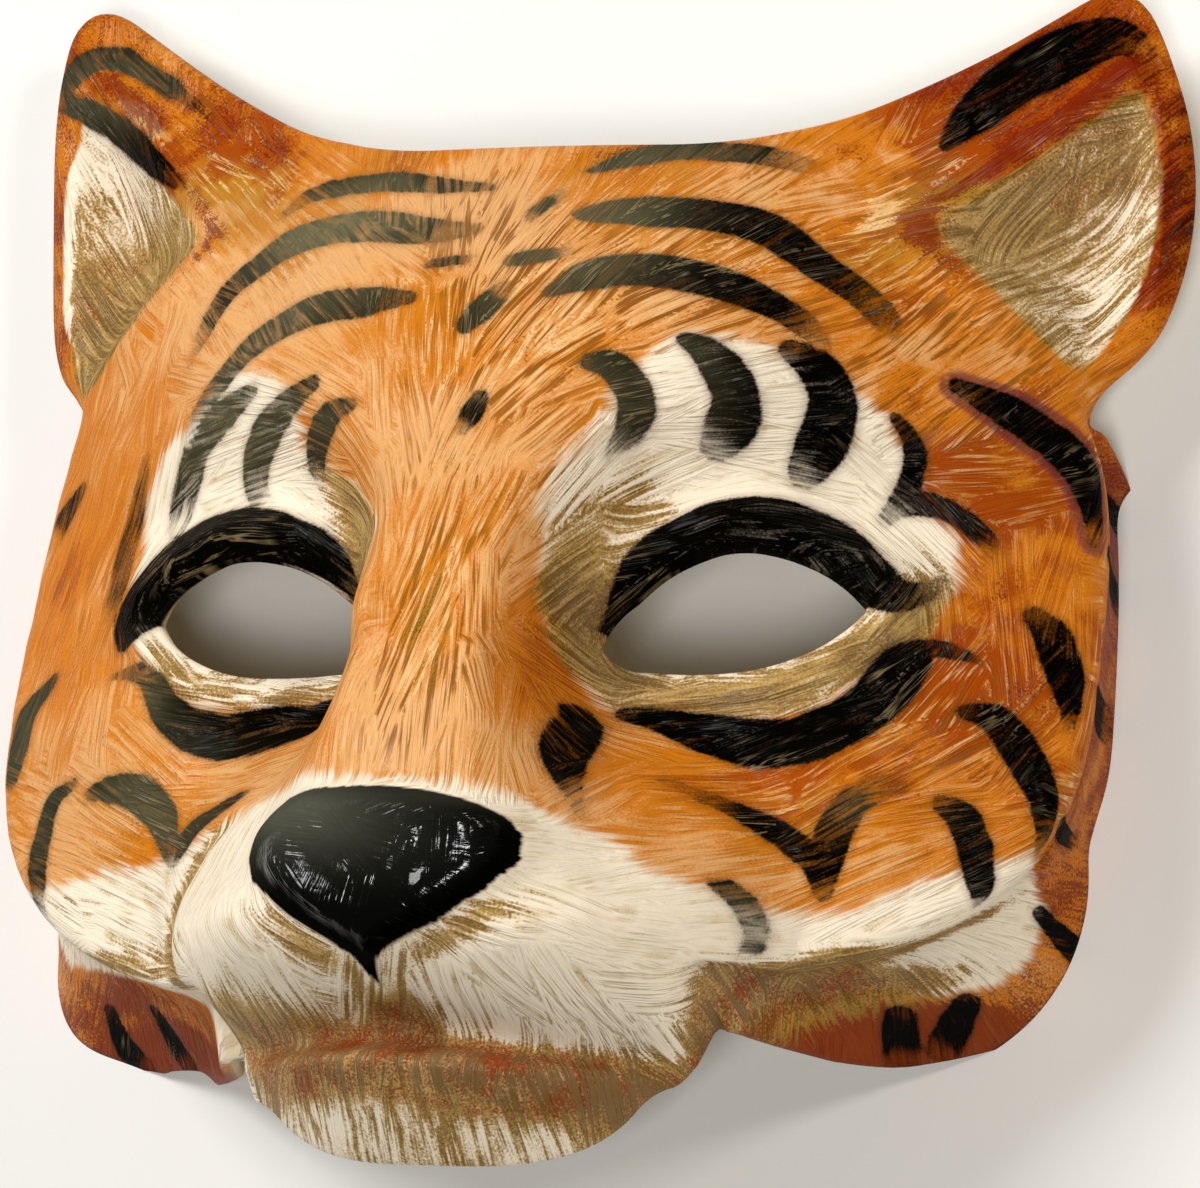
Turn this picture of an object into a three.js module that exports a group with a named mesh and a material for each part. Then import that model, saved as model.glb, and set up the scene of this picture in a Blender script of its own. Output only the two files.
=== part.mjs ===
// A papier-mache tiger mask, one moulded shell, lying face up on the rims of its cheeks.
// Millimetres. +X is the viewer's right, +Y the top of the head, +Z comes out of the face.
// The shell is drawn on a flat chart: a point (x, y) of the chart becomes a point of the front
// surface, and beyond the cheek ridge the chart folds down and back to make the flange.
import * as THREE from 'three';

// Wall, and where the chart stands over the origin.
const WALL = 3.0;
const CHART_AT = { x: 0.66, y: 4.34 };

// Cheek ridge: a superellipse round the face, given from its own middle height.
const RIDGE = { halfWidth: 82, middleY: -20, up: 86, down: 50, power: 2.8 };

// Unevenness of hand work: how much fuller the left cheek, jaw, rim and ear are.
const LEFT = {
  fadeX: 40, ridgeOut: 1.3, ridgeDown: 4.0, rimBelow: 1.3,
  rimCorner: 11.0, cornerAt: [71, -55], cornerRadii: [10, 9],
  earOut: 0.2, earLean: 0.1, earSquare: 0.9, earSlope: -0.045, eyeInward: 2.0,
};

// Stations every 15 mm up the face: height at the middle, at the side and along the bridge,
// and half the width of the bridge. Smooth curves run through them.
const STATION = { first: -120, step: 15 };
const MIDDLE_HEIGHT = [36, 38, 44, 50, 51, 51, 51, 53, 57, 61, 57, 45, 35, 30, 26];
const SIDE_HEIGHT = [20, 20, 22, 25, 27, 26, 24, 22, 19, 17, 17, 16, 15, 15, 15];
const BRIDGE_HEIGHT = [50, 60, 70, 74, 77, 78, 74, 69, 64, 61, 57, 45, 35, 30, 26];
const BRIDGE_HALF_WIDTH = [20, 20, 20, 20, 19, 17, 14, 12, 15, 23, 28, 28, 28, 28, 28];
const DOME = { sideX: 80, power: 1.75 };
const BRIDGE = { shoulder: 0.55, foot: 1.5, crown: 2.5, endLow: -70, endHigh: -52 };

// Swellings and hollows on the dome, alike on both sides: place, radii, turn and rise.
const SWELLINGS = [
  { name: 'forehead valley', at: [0, 34], radii: [9, 22], turn: 0, rise: -1.5 },
  { name: 'brow', at: [30, 14], radii: [16, 10], turn: 8, rise: 4 },
  { name: 'inner socket', at: [25, -8], radii: [10, 15], turn: -20, rise: -5.5 },
  { name: 'tear corner', at: [19, -21], radii: [8, 9], turn: 0, rise: -5.5 },
  { name: 'outer socket', at: [46, 2], radii: [14, 8], turn: -15, rise: -2.5 },
  { name: 'cheek', at: [56, -36], radii: [18, 13], turn: 25, rise: 4.5 },
];

// Eye openings: two arcs between an inner and an outer corner. The left eye is a little shorter.
const EYE = {
  inner: [18.4, -22.3],
  outerRight: [53.6, -14.7],
  outerLeft: [53.2, -16.6],
  upperRise: 10.0,
  lowerRise: 6.5,
  cornerRound: 1.0,
  tearDisc: { radius: 3.4, along: 4.2, above: 1.2, blend: 2.5 },
};
const UPPER_LID = { away: 4.0, width: 4.4, rise: 5.0 };
const LOWER_LID = { away: 3.2, width: 3.2, rise: 2.6 };
const LID_CHANGE = { low: -23, high: -15, tilt: 0.2, middleX: 35 };

// Muzzle: a barrel with two pads. Its upper side slopes up to the eyes, its lower side is round.
const MUZZLE = {
  centreY: -62, height: 74.5, foot: 39, halfWidth: 46, halfWidthUp: 52,
  reachUp: 21, reachUpSoft: 36, reachDown: 20.5,
  slopeFrom: -66, slopeTo: -48, squareLow: 2.4, squareUp: 2.0,
  crown: 2.2, fullLow: 0.72, fullUp: 1.2, slopePower: 1.5, outsideFall: 3, footRound: 7,
};
const PAD = { at: [20, -67], radii: [13, 10], rise: 3.0 };

// Nose leather: a bowed top, upright flanks and two lines that meet at the tip.
const NOSE = {
  middleX: -2.0, top: -49.2, topBow: 0.008, halfWidth: 20.7, tip: -72.8, slopeRise: 0.68,
  slopeScale: 0.83, cornerRound: 5, rise: 4.0, edge: [-2.5, 3],
};
const MOUTH = {
  y: -79.6, curl: 0.003, tilt: -0.1, arch: 1.6, archX: -3, archWidth: 7,
  depth: 3.4, width: 4.4, fadeX: [24, 38],
};

// Chin: its outline is a superellipse; below the mouth it falls away from the lip.
const CHIN = {
  middleX: -0.4, halfWidth: 32.0, middleY: -68, reach: 27.7, power: 2.7, lip: 65.5, lipY: -82, slope: 1.25,
  fall: 27, fallX: 33, fallPower: 2.2, startY: [-84, -75], fadeX: [34, 40],
};

// Ears: the outer arc, the front edge from forehead to tip and the lower end at the ridge.
const EAR = {
  arcX: 31.6, arcY: 52.5, arcRadius: 57.6, arcPower: 2.0, frontY: 57, frontX: 34, frontSlope: 0.665,
  frontSag: 1.4, tipX: 79, lowX: 77, lowY: 19.5, lowSlope: 0.9,
  frontScale: 0.85, lowScale: 0.8, tipRound: 7, lowRound: 6,
};
const CUP = {
  rim: 5.3, frontX: 57, frontY: 45, frontSlope: 1.02, lowY: 44, edgeScale: 0.7, round: 4,
  depth: 8.0, wall: [-1, 9], rollRise: 1.5, rollAway: 3, rollWidth: 3, rollFrom: [20, 40],
};

// Top edge over the forehead, and the flange that runs back and down beyond the ridge.
const TOP_EDGE = { y: 55.1, bow: 0.0006, round: 4 };
const FLANGE = {
  reach: 36, besideChin: 13, ridgeRound: 3.0, fall: 0.97, dip: 3.0,
  endY: [3, 25], foldY: [19, 29], chinX: [33, 54], chinY: [-60, -50],
  clearOfChinX: [31, 39], clearOfChinY: [-62, -40], leastReach: 8, mostRun: 1.3,
};
const RIM_OUT = {
  side: -0.4, below: 6.3, from: -32, to: -56, corner: -5.0, at: [78, -47], radii: [8, 13], power: 1.6,
};
const JOIN = { ears: 8, chin: 4 };

// Grid of the faceted solid: fine over the eyes and muzzle, wider over ears, sides and flange.
const GRID = { fine: 3.3, wide: 4.8, fineX: 59, fineTop: 14, halfWidth: 122, bottom: -102, top: 92 };
const SNAP = { share: 0.36, step: 0.05, near: 0.3 };
const TABLE = { blend: 8.0, flat: 0.25 };
const NORMAL_REACH = 5.0;
const HALVINGS = 24;
const TINY = 1e-9;

function ease(from, to, value) {
  const t = Math.min(Math.max((value - from) / (to - from), 0), 1);
  return t * t * (3 - 2 * t);
}

function mix(a, b, share) {
  return a + (b - a) * share;
}

function softMax(a, b, radius) {
  const overlap = Math.max(radius - Math.abs(a - b), 0) / radius;
  return Math.max(a, b) + (overlap * overlap * radius) / 4;
}

function softMin(a, b, radius) {
  return -softMax(-a, -b, radius);
}

function bell(distance, width) {
  return Math.exp(-((distance / width) ** 2));
}

// A round swelling, 1 at its middle and fading over its two radii.
function hill(x, y, at, radii, turn = 0) {
  const angle = THREE.MathUtils.degToRad(turn);
  const cos = Math.cos(angle);
  const sin = Math.sin(angle);
  const u = (x - at[0]) * cos + (y - at[1]) * sin;
  const v = (y - at[1]) * cos - (x - at[0]) * sin;
  return bell(u, radii[0]) * bell(v, radii[1]);
}

function superellipse(u, v, power) {
  return (Math.abs(u) ** power + Math.abs(v) ** power + TINY) ** (1 / power);
}

// The value at height y of the cubic B-spline over evenly spaced stations.
function along(stations, y) {
  const last = stations.length - 1;
  const place = Math.min(Math.max((y - STATION.first) / STATION.step, 1), last - 1.001);
  const i = Math.floor(place);
  const t = place - i;
  const weights = [
    (1 - t) ** 3,
    3 * t ** 3 - 6 * t * t + 4,
    -3 * t ** 3 + 3 * t * t + 3 * t + 1,
    t ** 3,
  ];
  return weights.reduce((sum, weight, k) => sum + weight * stations[Math.min(i - 1 + k, last)], 0) / 6;
}

// How much of the left side's fullness a chart point has.
function leftShare(x) {
  return ease(0, -LEFT.fadeX, x);
}

// How far a chart point lies beyond the ridge, the outward direction, and the ridge point nearest.
function ridgeAt(x, y) {
  const halfWidth = RIDGE.halfWidth + LEFT.ridgeOut * leftShare(x);
  const height = y > RIDGE.middleY ? RIDGE.up : RIDGE.down + LEFT.ridgeDown * leftShare(x);
  const u = Math.abs(x) / halfWidth;
  const v = Math.abs(y - RIDGE.middleY) / height;
  const n = RIDGE.power;
  const size = superellipse(u, v, n);
  const shared = size ** (1 - n);
  const gx = (shared * u ** (n - 1) * Math.sign(x)) / halfWidth;
  const gy = (shared * v ** (n - 1) * Math.sign(y - RIDGE.middleY)) / height;
  const length = Math.hypot(gx, gy) + TINY;
  const beyond = (size - 1) / length;
  const out = [gx / length, gy / length];
  return { beyond, out, foot: [Math.abs(x - out[0] * beyond), y - out[1] * beyond] };
}

// Millimetres inside the eye opening, negative outside it.
function eyeField(x, y) {
  const [innerX, ay] = EYE.inner;
  const ax = x < 0 ? innerX - LEFT.eyeInward : innerX;
  const [bx, by] = x < 0 ? EYE.outerLeft : EYE.outerRight;
  const chord = Math.hypot(bx - ax, by - ay);
  const tx = (bx - ax) / chord;
  const ty = (by - ay) / chord;
  const px = Math.abs(x) - ax;
  const py = y - ay;
  const s = px * tx + py * ty - chord / 2;
  const h = py * tx - px * ty;
  const arc = (rise, side) => {
    const radius = (chord * chord / 4 + rise * rise) / (2 * rise);
    return radius - Math.hypot(s, side - rise + radius);
  };
  const almond = softMin(arc(EYE.upperRise, h), arc(EYE.lowerRise, -h), EYE.cornerRound);
  const tear = EYE.tearDisc;
  const disc = tear.radius - Math.hypot(s + chord / 2 - tear.along, h - tear.above);
  return softMax(almond, disc, tear.blend);
}

function chinField(x, y) {
  const size = superellipse((x - CHIN.middleX) / CHIN.halfWidth, (y - CHIN.middleY) / CHIN.reach, CHIN.power);
  return (1 - size) * CHIN.reach;
}

// Millimetres inside the arc that bounds the ear, drawn a given distance smaller.
function earArc(x, y, smaller) {
  const arcX = EAR.arcX + (LEFT.earOut + LEFT.earLean * (y - EAR.arcY)) * leftShare(x);
  const power = EAR.arcPower + LEFT.earSquare * leftShare(x);
  return EAR.arcRadius - smaller - superellipse(Math.abs(x) - arcX, y - EAR.arcY, power);
}

function earField(x, y) {
  const side = Math.abs(x);
  const run = Math.min(Math.max((side - EAR.frontX) / (EAR.tipX - EAR.frontX), 0), 1);
  const sag = EAR.frontSag * Math.sin(run * Math.PI);
  const slope = EAR.frontSlope + LEFT.earSlope * leftShare(x);
  const front = (EAR.frontY + slope * (side - EAR.frontX) - sag - y) * EAR.frontScale;
  const low = (y - EAR.lowY + EAR.lowSlope * (EAR.lowX - side)) * EAR.lowScale;
  return softMin(softMin(earArc(x, y, 0), front, EAR.tipRound), low, EAR.lowRound);
}

// The hollow of the ear: inside the arc, behind the rolled front edge, above the lower end.
function cupField(x, y) {
  const side = Math.abs(x);
  const front = (CUP.frontY + CUP.frontSlope * (side - CUP.frontX) - y) * CUP.edgeScale;
  const low = (y - CUP.lowY + (side - CUP.frontX)) * CUP.edgeScale;
  return softMin(softMin(earArc(x, y, CUP.rim), front, CUP.round), low, CUP.round);
}

function noseField(x, y) {
  const side = Math.abs(x - NOSE.middleX);
  const top = NOSE.top - y - NOSE.topBow * side * side;
  const flank = NOSE.halfWidth - side;
  const slope = (y - NOSE.tip - NOSE.slopeRise * side) * NOSE.slopeScale;
  return softMin(softMin(top, flank, NOSE.cornerRound), slope, NOSE.cornerRound);
}

// How far the flange runs beyond a ridge point: not at all by the ears, briefly beside the chin.
function flangeReach(foot) {
  const beside = ease(FLANGE.endY[1], FLANGE.endY[0], foot[1]) * FLANGE.reach;
  const below = mix(FLANGE.besideChin, FLANGE.reach, ease(...FLANGE.chinX, foot[0]));
  return mix(beside, below, ease(FLANGE.chinY[1], FLANGE.chinY[0], foot[1]));
}

// Millimetres inside the whole outline on the chart: head, ears and chin flowed together.
function outlineField(x, y) {
  const ridge = ridgeAt(x, y);
  const topEdge = TOP_EDGE.y + TOP_EDGE.bow * x * x - y;
  const head = softMin(flangeReach(ridge.foot) - ridge.beyond, topEdge, TOP_EDGE.round);
  return softMax(softMax(head, earField(x, y), JOIN.ears), chinField(x, y), JOIN.chin);
}

// The broad dome of the face with its swellings.
function domeHeight(side, y) {
  const middle = along(MIDDLE_HEIGHT, y);
  const fall = (middle - along(SIDE_HEIGHT, y)) * (side / DOME.sideX) ** DOME.power;
  const swell = (sum, each) => sum + each.rise * hill(side, y, each.at, each.radii, each.turn);
  return SWELLINGS.reduce(swell, middle - fall);
}

// The face with the muzzle standing out of it.
function muzzleHeight(side, y, face) {
  const up = ease(MUZZLE.slopeFrom, MUZZLE.slopeTo, y);
  const above = mix(MUZZLE.reachUp, MUZZLE.reachUpSoft, up);
  const reach = y > MUZZLE.centreY ? above : MUZZLE.reachDown;
  const halfWidth = mix(MUZZLE.halfWidth, MUZZLE.halfWidthUp, up);
  const power = mix(MUZZLE.squareLow, MUZZLE.squareUp, up);
  const size = superellipse(side / halfWidth, (y - MUZZLE.centreY) / reach, power);
  const inside = 1 - size ** MUZZLE.crown;
  const full = mix(MUZZLE.fullLow, MUZZLE.fullUp, up);
  const body = inside > 0 ? inside ** full : MUZZLE.outsideFall * inside;
  const pad = PAD.rise * hill(side, y, PAD.at, PAD.radii);
  const top = MUZZLE.foot + (MUZZLE.height - MUZZLE.foot) * body + pad;
  const barrel = softMax(face, top, MUZZLE.footRound);
  const slope = face + (MUZZLE.height - face) * Math.max(1 - size * size, 0) ** MUZZLE.slopePower;
  return mix(barrel, slope, up);
}

// The bridge of the nose laid over the face, from the forehead down to the nose leather.
function bridgeHeight(side, y, face) {
  const across = side / along(BRIDGE_HALF_WIDTH, y);
  const crown = along(BRIDGE_HEIGHT, y) - BRIDGE.crown * across * across;
  const share = (1 - ease(BRIDGE.shoulder, BRIDGE.foot, across)) * ease(BRIDGE.endLow, BRIDGE.endHigh, y);
  return mix(face, Math.max(face, crown), share);
}

// The rise of the rolled lids round the eye opening.
function lidRise(x, y) {
  const eye = eyeField(x, y);
  const above = y - LID_CHANGE.tilt * (Math.abs(x) - LID_CHANGE.middleX);
  const upper = ease(LID_CHANGE.low, LID_CHANGE.high, above);
  const upperRise = UPPER_LID.rise * bell(eye + UPPER_LID.away, UPPER_LID.width);
  const lowerRise = LOWER_LID.rise * bell(eye + LOWER_LID.away, LOWER_LID.width);
  return mix(lowerRise, upperRise, upper);
}

// Height of the front over the chart before the flange folds back.
function relief(x, y) {
  const side = Math.abs(x);
  const face = bridgeHeight(side, y, muzzleHeight(side, y, domeHeight(side, y)));
  return face + lidRise(x, y) + NOSE.rise * ease(...NOSE.edge, noseField(x, y));
}

// The front surface over a chart point.
function frontPoint(x, y) {
  const side = Math.abs(x);
  const { beyond, out, foot } = ridgeAt(x, y);
  const beyondChin = ease(...FLANGE.clearOfChinX, side);
  const clear = mix(1, beyondChin, ease(FLANGE.clearOfChinY[1], FLANGE.clearOfChinY[0], y));
  const share = ease(FLANGE.foldY[1], FLANGE.foldY[0], y) * clear;
  const round = FLANGE.ridgeRound;
  let run = 0;
  if (beyond > round) run = beyond;
  else if (beyond > -round) run = (beyond + round) ** 2 / (4 * round);
  run *= share;
  const t = Math.min(run / Math.max(flangeReach(foot), FLANGE.leastReach), FLANGE.mostRun);
  const left = leftShare(x);
  const below = ease(RIM_OUT.from, RIM_OUT.to, foot[1]);
  const leftCorner = LEFT.rimCorner * left * hill(...foot, LEFT.cornerAt, LEFT.cornerRadii);
  const corner = RIM_OUT.corner * hill(...foot, RIM_OUT.at, RIM_OUT.radii) + leftCorner;
  const flare = mix(RIM_OUT.side, RIM_OUT.below + LEFT.rimBelow * left, below) + corner;
  const away = flare * t ** RIM_OUT.power - FLANGE.dip * share * Math.sin(Math.min(t, 1) * Math.PI);
  let z = relief(x - out[0] * run, y - out[1] * run) - FLANGE.fall * run;
  const drop = CHIN.slope * Math.max(CHIN.lipY - y, 0);
  const jaw = CHIN.lip - drop - CHIN.fall * (side / CHIN.fallX) ** CHIN.fallPower;
  const onChin = ease(CHIN.startY[1], CHIN.startY[0], y) * ease(CHIN.fadeX[1], CHIN.fadeX[0], side);
  z = mix(z, jaw, onChin);
  const arch = MOUTH.arch * bell(x - MOUTH.archX, MOUTH.archWidth);
  const mouthY = MOUTH.y + MOUTH.curl * side * side + MOUTH.tilt * x + arch;
  z -= MOUTH.depth * bell(y - mouthY, MOUTH.width) * ease(MOUTH.fadeX[1], MOUTH.fadeX[0], side);
  const cup = cupField(x, y);
  z -= CUP.depth * ease(...CUP.wall, cup);
  z += CUP.rollRise * bell(cup + CUP.rollAway, CUP.rollWidth) * ease(...CUP.rollFrom, y);
  const pull = run - away;
  return new THREE.Vector3(x - out[0] * pull, y - out[1] * pull, z);
}

// The inner surface lies a wall's thickness behind the front, measured square to its broad form,
// and level with the front where the rim stands on the table.
function backPoint(x, y, front) {
  const r = NORMAL_REACH;
  const alongX = frontPoint(x + r, y).sub(frontPoint(x - r, y));
  const alongY = frontPoint(x, y + r).sub(frontPoint(x, y - r));
  const normal = alongX.cross(alongY).normalize();
  normal.z *= ease(0, TABLE.blend, front.z);
  return front.clone().addScaledVector(normal.normalize(), -WALL);
}

// Millimetres inside the material: inside the outline, outside the eyes, above the table.
function materialField(x, y) {
  return Math.min(outlineField(x, y), -eyeField(x, y), frontPoint(x, y).z);
}

// Grid lines over the width or the height, close together in the fine stretch.
function gridLines(from, to, fineFrom, fineTo) {
  const stretch = (a, b, step) => {
    const count = Math.max(Math.round((b - a) / step), 1);
    return Array.from({ length: count }, (unused, k) => a + ((b - a) * k) / count);
  };
  const before = fineFrom > from ? stretch(from, fineFrom, GRID.wide) : [];
  return [...before, ...stretch(fineFrom, fineTo, GRID.fine), ...stretch(fineTo, to, GRID.wide), to];
}

// Chart points and triangles of the material: the grid is clipped along the zero of the field,
// after the grid points that lie close to that line have been moved onto it. Each cell is halved
// along its more level diagonal, which follows the folds of the surface.
function clippedChart() {
  const xs = gridLines(-GRID.halfWidth, GRID.halfWidth, -GRID.fineX, GRID.fineX);
  const ys = gridLines(GRID.bottom, GRID.top, GRID.bottom, GRID.fineTop);
  const points = [];
  for (const y of ys) {
    for (const x of xs) points.push(snapped(x, y, Math.abs(x) < GRID.fineX ? GRID.fine : GRID.wide));
  }
  const crossings = new Map();
  const crossing = (a, b) => {
    const key = a < b ? `${a} ${b}` : `${b} ${a}`;
    if (!crossings.has(key)) {
      crossings.set(key, points.length);
      points.push(zeroBetween(points[a], points[b]));
    }
    return crossings.get(key);
  };
  const triangles = [];
  const addClipped = (corners) => {
    if (Math.max(...corners.map((k) => points[k].field)) <= 0) return;
    const kept = [];
    corners.forEach((a, k) => {
      const b = corners[(k + 1) % 3];
      if (points[a].field >= 0) kept.push(a);
      if (points[a].field * points[b].field < 0) kept.push(crossing(a, b));
    });
    for (let k = 2; k < kept.length; k += 1) triangles.push([kept[0], kept[k - 1], kept[k]]);
  };
  const height = (k) => frontPoint(points[k].x, points[k].y).z;
  for (let j = 0; j < ys.length - 1; j += 1) {
    for (let i = 0; i < xs.length - 1; i += 1) {
      const a = j * xs.length + i;
      const [b, c, d] = [a + 1, a + xs.length + 1, a + xs.length];
      const levelAC = Math.abs(height(a) - height(c)) < Math.abs(height(b) - height(d));
      const pair = levelAC ? [[a, b, c], [a, c, d]] : [[a, b, d], [b, c, d]];
      pair.forEach(addClipped);
    }
  }
  return { points, triangles };
}

// A grid point, moved onto the zero line of the field when it lies close to it.
function snapped(x, y, cell) {
  const { step } = SNAP;
  const field = materialField(x, y);
  const gx = (materialField(x + step, y) - materialField(x - step, y)) / (2 * step);
  const gy = (materialField(x, y + step) - materialField(x, y - step)) / (2 * step);
  const steep = gx * gx + gy * gy;
  const move = Math.abs(field) / Math.sqrt(steep);
  if (!(move < SNAP.share * cell)) return { x, y, field };
  const at = { x: x - (field * gx) / steep, y: y - (field * gy) / steep };
  return Math.abs(materialField(at.x, at.y)) < SNAP.near ? { ...at, field: 0 } : { x, y, field };
}

function zeroBetween(a, b) {
  let [inside, outside] = a.field > 0 ? [a, b] : [b, a];
  for (let step = 0; step < HALVINGS; step += 1) {
    const x = (inside.x + outside.x) / 2;
    const y = (inside.y + outside.y) / 2;
    const middle = { x, y, field: materialField(x, y) };
    if (middle.field > 0) inside = middle;
    else outside = middle;
  }
  return { x: inside.x, y: inside.y, field: 0 };
}

// Front and back skins over the clipped chart, joined by a wall along every open edge.
function shellGeometry() {
  const { points, triangles } = clippedChart();
  const numbers = new Map();
  const positions = [];
  const numberOf = (k) => {
    if (!numbers.has(k)) {
      const { x, y, field } = points[k];
      const front = frontPoint(x, y);
      if (field === 0 && front.z < TABLE.flat) front.z = 0;
      const back = backPoint(x, y, front);
      numbers.set(k, positions.length / 3);
      for (const p of [front, back]) positions.push(p.x + CHART_AT.x, p.y + CHART_AT.y, p.z);
    }
    return numbers.get(k);
  };
  const index = [];
  const open = new Map();
  for (const triangle of triangles) {
    const [a, b, c] = triangle.map(numberOf);
    index.push(a, b, c, a + 1, c + 1, b + 1);
    for (const [from, to] of [[a, b], [b, c], [c, a]]) {
      if (!open.delete(`${to} ${from}`)) open.set(`${from} ${to}`, [from, to]);
    }
  }
  for (const [from, to] of open.values()) index.push(from, from + 1, to + 1, from, to + 1, to);
  const geometry = new THREE.BufferGeometry();
  geometry.setAttribute('position', new THREE.Float32BufferAttribute(positions, 3));
  geometry.setIndex(index);
  geometry.computeVertexNormals();
  return geometry;
}

const paintedPaper = new THREE.MeshStandardMaterial({ color: 0xd98a3c, roughness: 0.35, metalness: 0 });

const shell = new THREE.Mesh(shellGeometry(), paintedPaper);
shell.name = 'mask_shell';

const group = new THREE.Group();
group.add(shell);

export default group;
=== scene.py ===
import bpy
import numpy as np
from mathutils import Matrix, Vector


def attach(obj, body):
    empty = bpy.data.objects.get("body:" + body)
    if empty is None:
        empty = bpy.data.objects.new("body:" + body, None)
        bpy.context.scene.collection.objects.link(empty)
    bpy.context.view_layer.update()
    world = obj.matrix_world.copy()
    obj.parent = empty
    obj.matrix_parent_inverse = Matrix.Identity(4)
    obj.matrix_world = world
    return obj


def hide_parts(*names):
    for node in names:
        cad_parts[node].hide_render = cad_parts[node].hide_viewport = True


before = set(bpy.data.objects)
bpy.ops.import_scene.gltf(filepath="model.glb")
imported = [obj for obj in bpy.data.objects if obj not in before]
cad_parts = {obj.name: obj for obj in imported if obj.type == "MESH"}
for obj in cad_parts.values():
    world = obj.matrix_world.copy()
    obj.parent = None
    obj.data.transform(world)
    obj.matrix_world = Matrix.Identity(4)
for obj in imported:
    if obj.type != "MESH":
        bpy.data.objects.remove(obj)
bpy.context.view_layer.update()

# The face, modelled in papier-mache over a mould. A flat chart of it, x across and y up, is bent
# into the front surface: a dome with swellings, a muzzle, a bridge, rolled lids, cupped ears, and
# a flange that folds back beyond the cheeks.


def ease(start, end, value):
    """Smooth step from 0 at start to 1 at end."""
    t = np.clip((value - start) / (end - start), 0, 1)
    return t * t * (3 - 2 * t)


def mix(a, b, share):
    """Straight blend from a to b."""
    return a + (b - a) * share


def soft_max(a, b, radius):
    """The larger of two heights, with the crease between them filled over a radius."""
    overlap = np.maximum(radius - np.abs(a - b), 0) / radius
    return np.maximum(a, b) + overlap * overlap * radius / 4


def soft_min(a, b, radius):
    """The smaller of two heights, with the edge between them rounded over a radius."""
    return -soft_max(-a, -b, radius)


def bell(distance, width):
    """Gauss curve, 1 at no distance."""
    return np.exp(-((distance / width) ** 2))


def hill(x, y, at, radii, turn=0):
    """Round swelling: the product of two bells across its turned axes."""
    c, s = np.cos(np.radians(turn)), np.sin(np.radians(turn))
    u, v = (x - at[0]) * c + (y - at[1]) * s, (y - at[1]) * c - (x - at[0]) * s
    return bell(u, radii[0]) * bell(v, radii[1])


def superellipse(u, v, power):
    """Size of the superellipse through (u, v): the power mean of both coordinates."""
    return (np.abs(u) ** power + np.abs(v) ** power + 1e-9) ** (1 / power)


def along(stations, y, first=-120, step=15):
    """Cubic B-spline over stations every 15 mm up the face."""
    heights = np.array(stations, float)
    last = len(heights) - 1
    place = np.clip((y - first) / step, 1, last - 1.001)
    i = np.floor(place).astype(int)
    t = place - i
    weights = ((1 - t) ** 3, 3 * t**3 - 6 * t * t + 4, -3 * t**3 + 3 * t * t + 3 * t + 1, t**3)
    return sum(weights[k] * heights[np.minimum(i - 1 + k, last)] for k in range(4)) / 6


def left_share(x):
    """How much of the left side's fullness a chart point has: 0 at the middle, 1 from 40 mm."""
    return ease(0, -40, x)


def ridge_at(x, y):
    """Cheek ridge, a superellipse: distance beyond it, outward direction and nearest ridge point."""
    left = left_share(x)
    width, height = 82 + 1.3 * left, np.where(y > -20, 86, 50 + 4 * left)
    u, v, n = np.abs(x) / width, np.abs(y + 20) / height, 2.8
    size = superellipse(u, v, n)
    gx = size ** (1 - n) * u ** (n - 1) * np.sign(x) / width
    gy = size ** (1 - n) * v ** (n - 1) * np.sign(y + 20) / height
    length = np.hypot(gx, gy) + 1e-9
    beyond, ox, oy = (size - 1) / length, gx / length, gy / length
    return beyond, ox, oy, np.abs(x - ox * beyond), y - oy * beyond


def eye_field(x, y):
    """Millimetres inside the eye opening: two arcs on one chord, and a disc at the tear corner."""
    left = x < 0
    ax, ay = np.where(left, 16.4, 18.4), -22.3
    bx, by = np.where(left, 53.2, 53.6), np.where(left, -16.6, -14.7)
    chord = np.hypot(bx - ax, by - ay)
    tx, ty = (bx - ax) / chord, (by - ay) / chord
    px, py = np.abs(x) - ax, y - ay
    s, h = px * tx + py * ty - chord / 2, py * tx - px * ty

    def arc(rise, side):
        radius = (chord * chord / 4 + rise * rise) / (2 * rise)
        return radius - np.hypot(s, side - rise + radius)

    almond = soft_min(arc(10.0, h), arc(6.5, -h), 1.0)
    return soft_max(almond, 3.4 - np.hypot(s + chord / 2 - 4.2, h - 1.2), 2.5)


def chin_field(x, y):
    """Millimetres inside the chin's outline, a superellipse."""
    return (1 - superellipse((x + 0.4) / 32.0, (y + 68) / 27.7, 2.7)) * 27.7


def ear_arc(x, y, smaller):
    """Millimetres inside the arc that bounds an ear, squarer on the left."""
    left = left_share(x)
    across = np.abs(x) - 31.6 - (0.2 + 0.1 * (y - 52.5)) * left
    return 57.6 - smaller - superellipse(across, y - 52.5, 2.0 + 0.9 * left)


def ear_field(x, y):
    """Millimetres inside an ear: its arc, its front edge that sags a little, and its lower end."""
    side = np.abs(x)
    slope = 0.665 - 0.045 * left_share(x)
    sag = 1.4 * np.sin(np.clip((side - 34) / 45, 0, 1) * np.pi)
    front = (57 + slope * (side - 34) - sag - y) * 0.85
    low = (y - 19.5 + 0.9 * (77 - side)) * 0.8
    return soft_min(soft_min(ear_arc(x, y, 0), front, 7), low, 6)


def cup_field(x, y):
    """Millimetres inside the hollow of an ear."""
    side = np.abs(x)
    front = (45 + 1.02 * (side - 57) - y) * 0.7
    low = (y - 44 + (side - 57)) * 0.7
    return soft_min(soft_min(ear_arc(x, y, 5.3), front, 4), low, 4)


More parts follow.
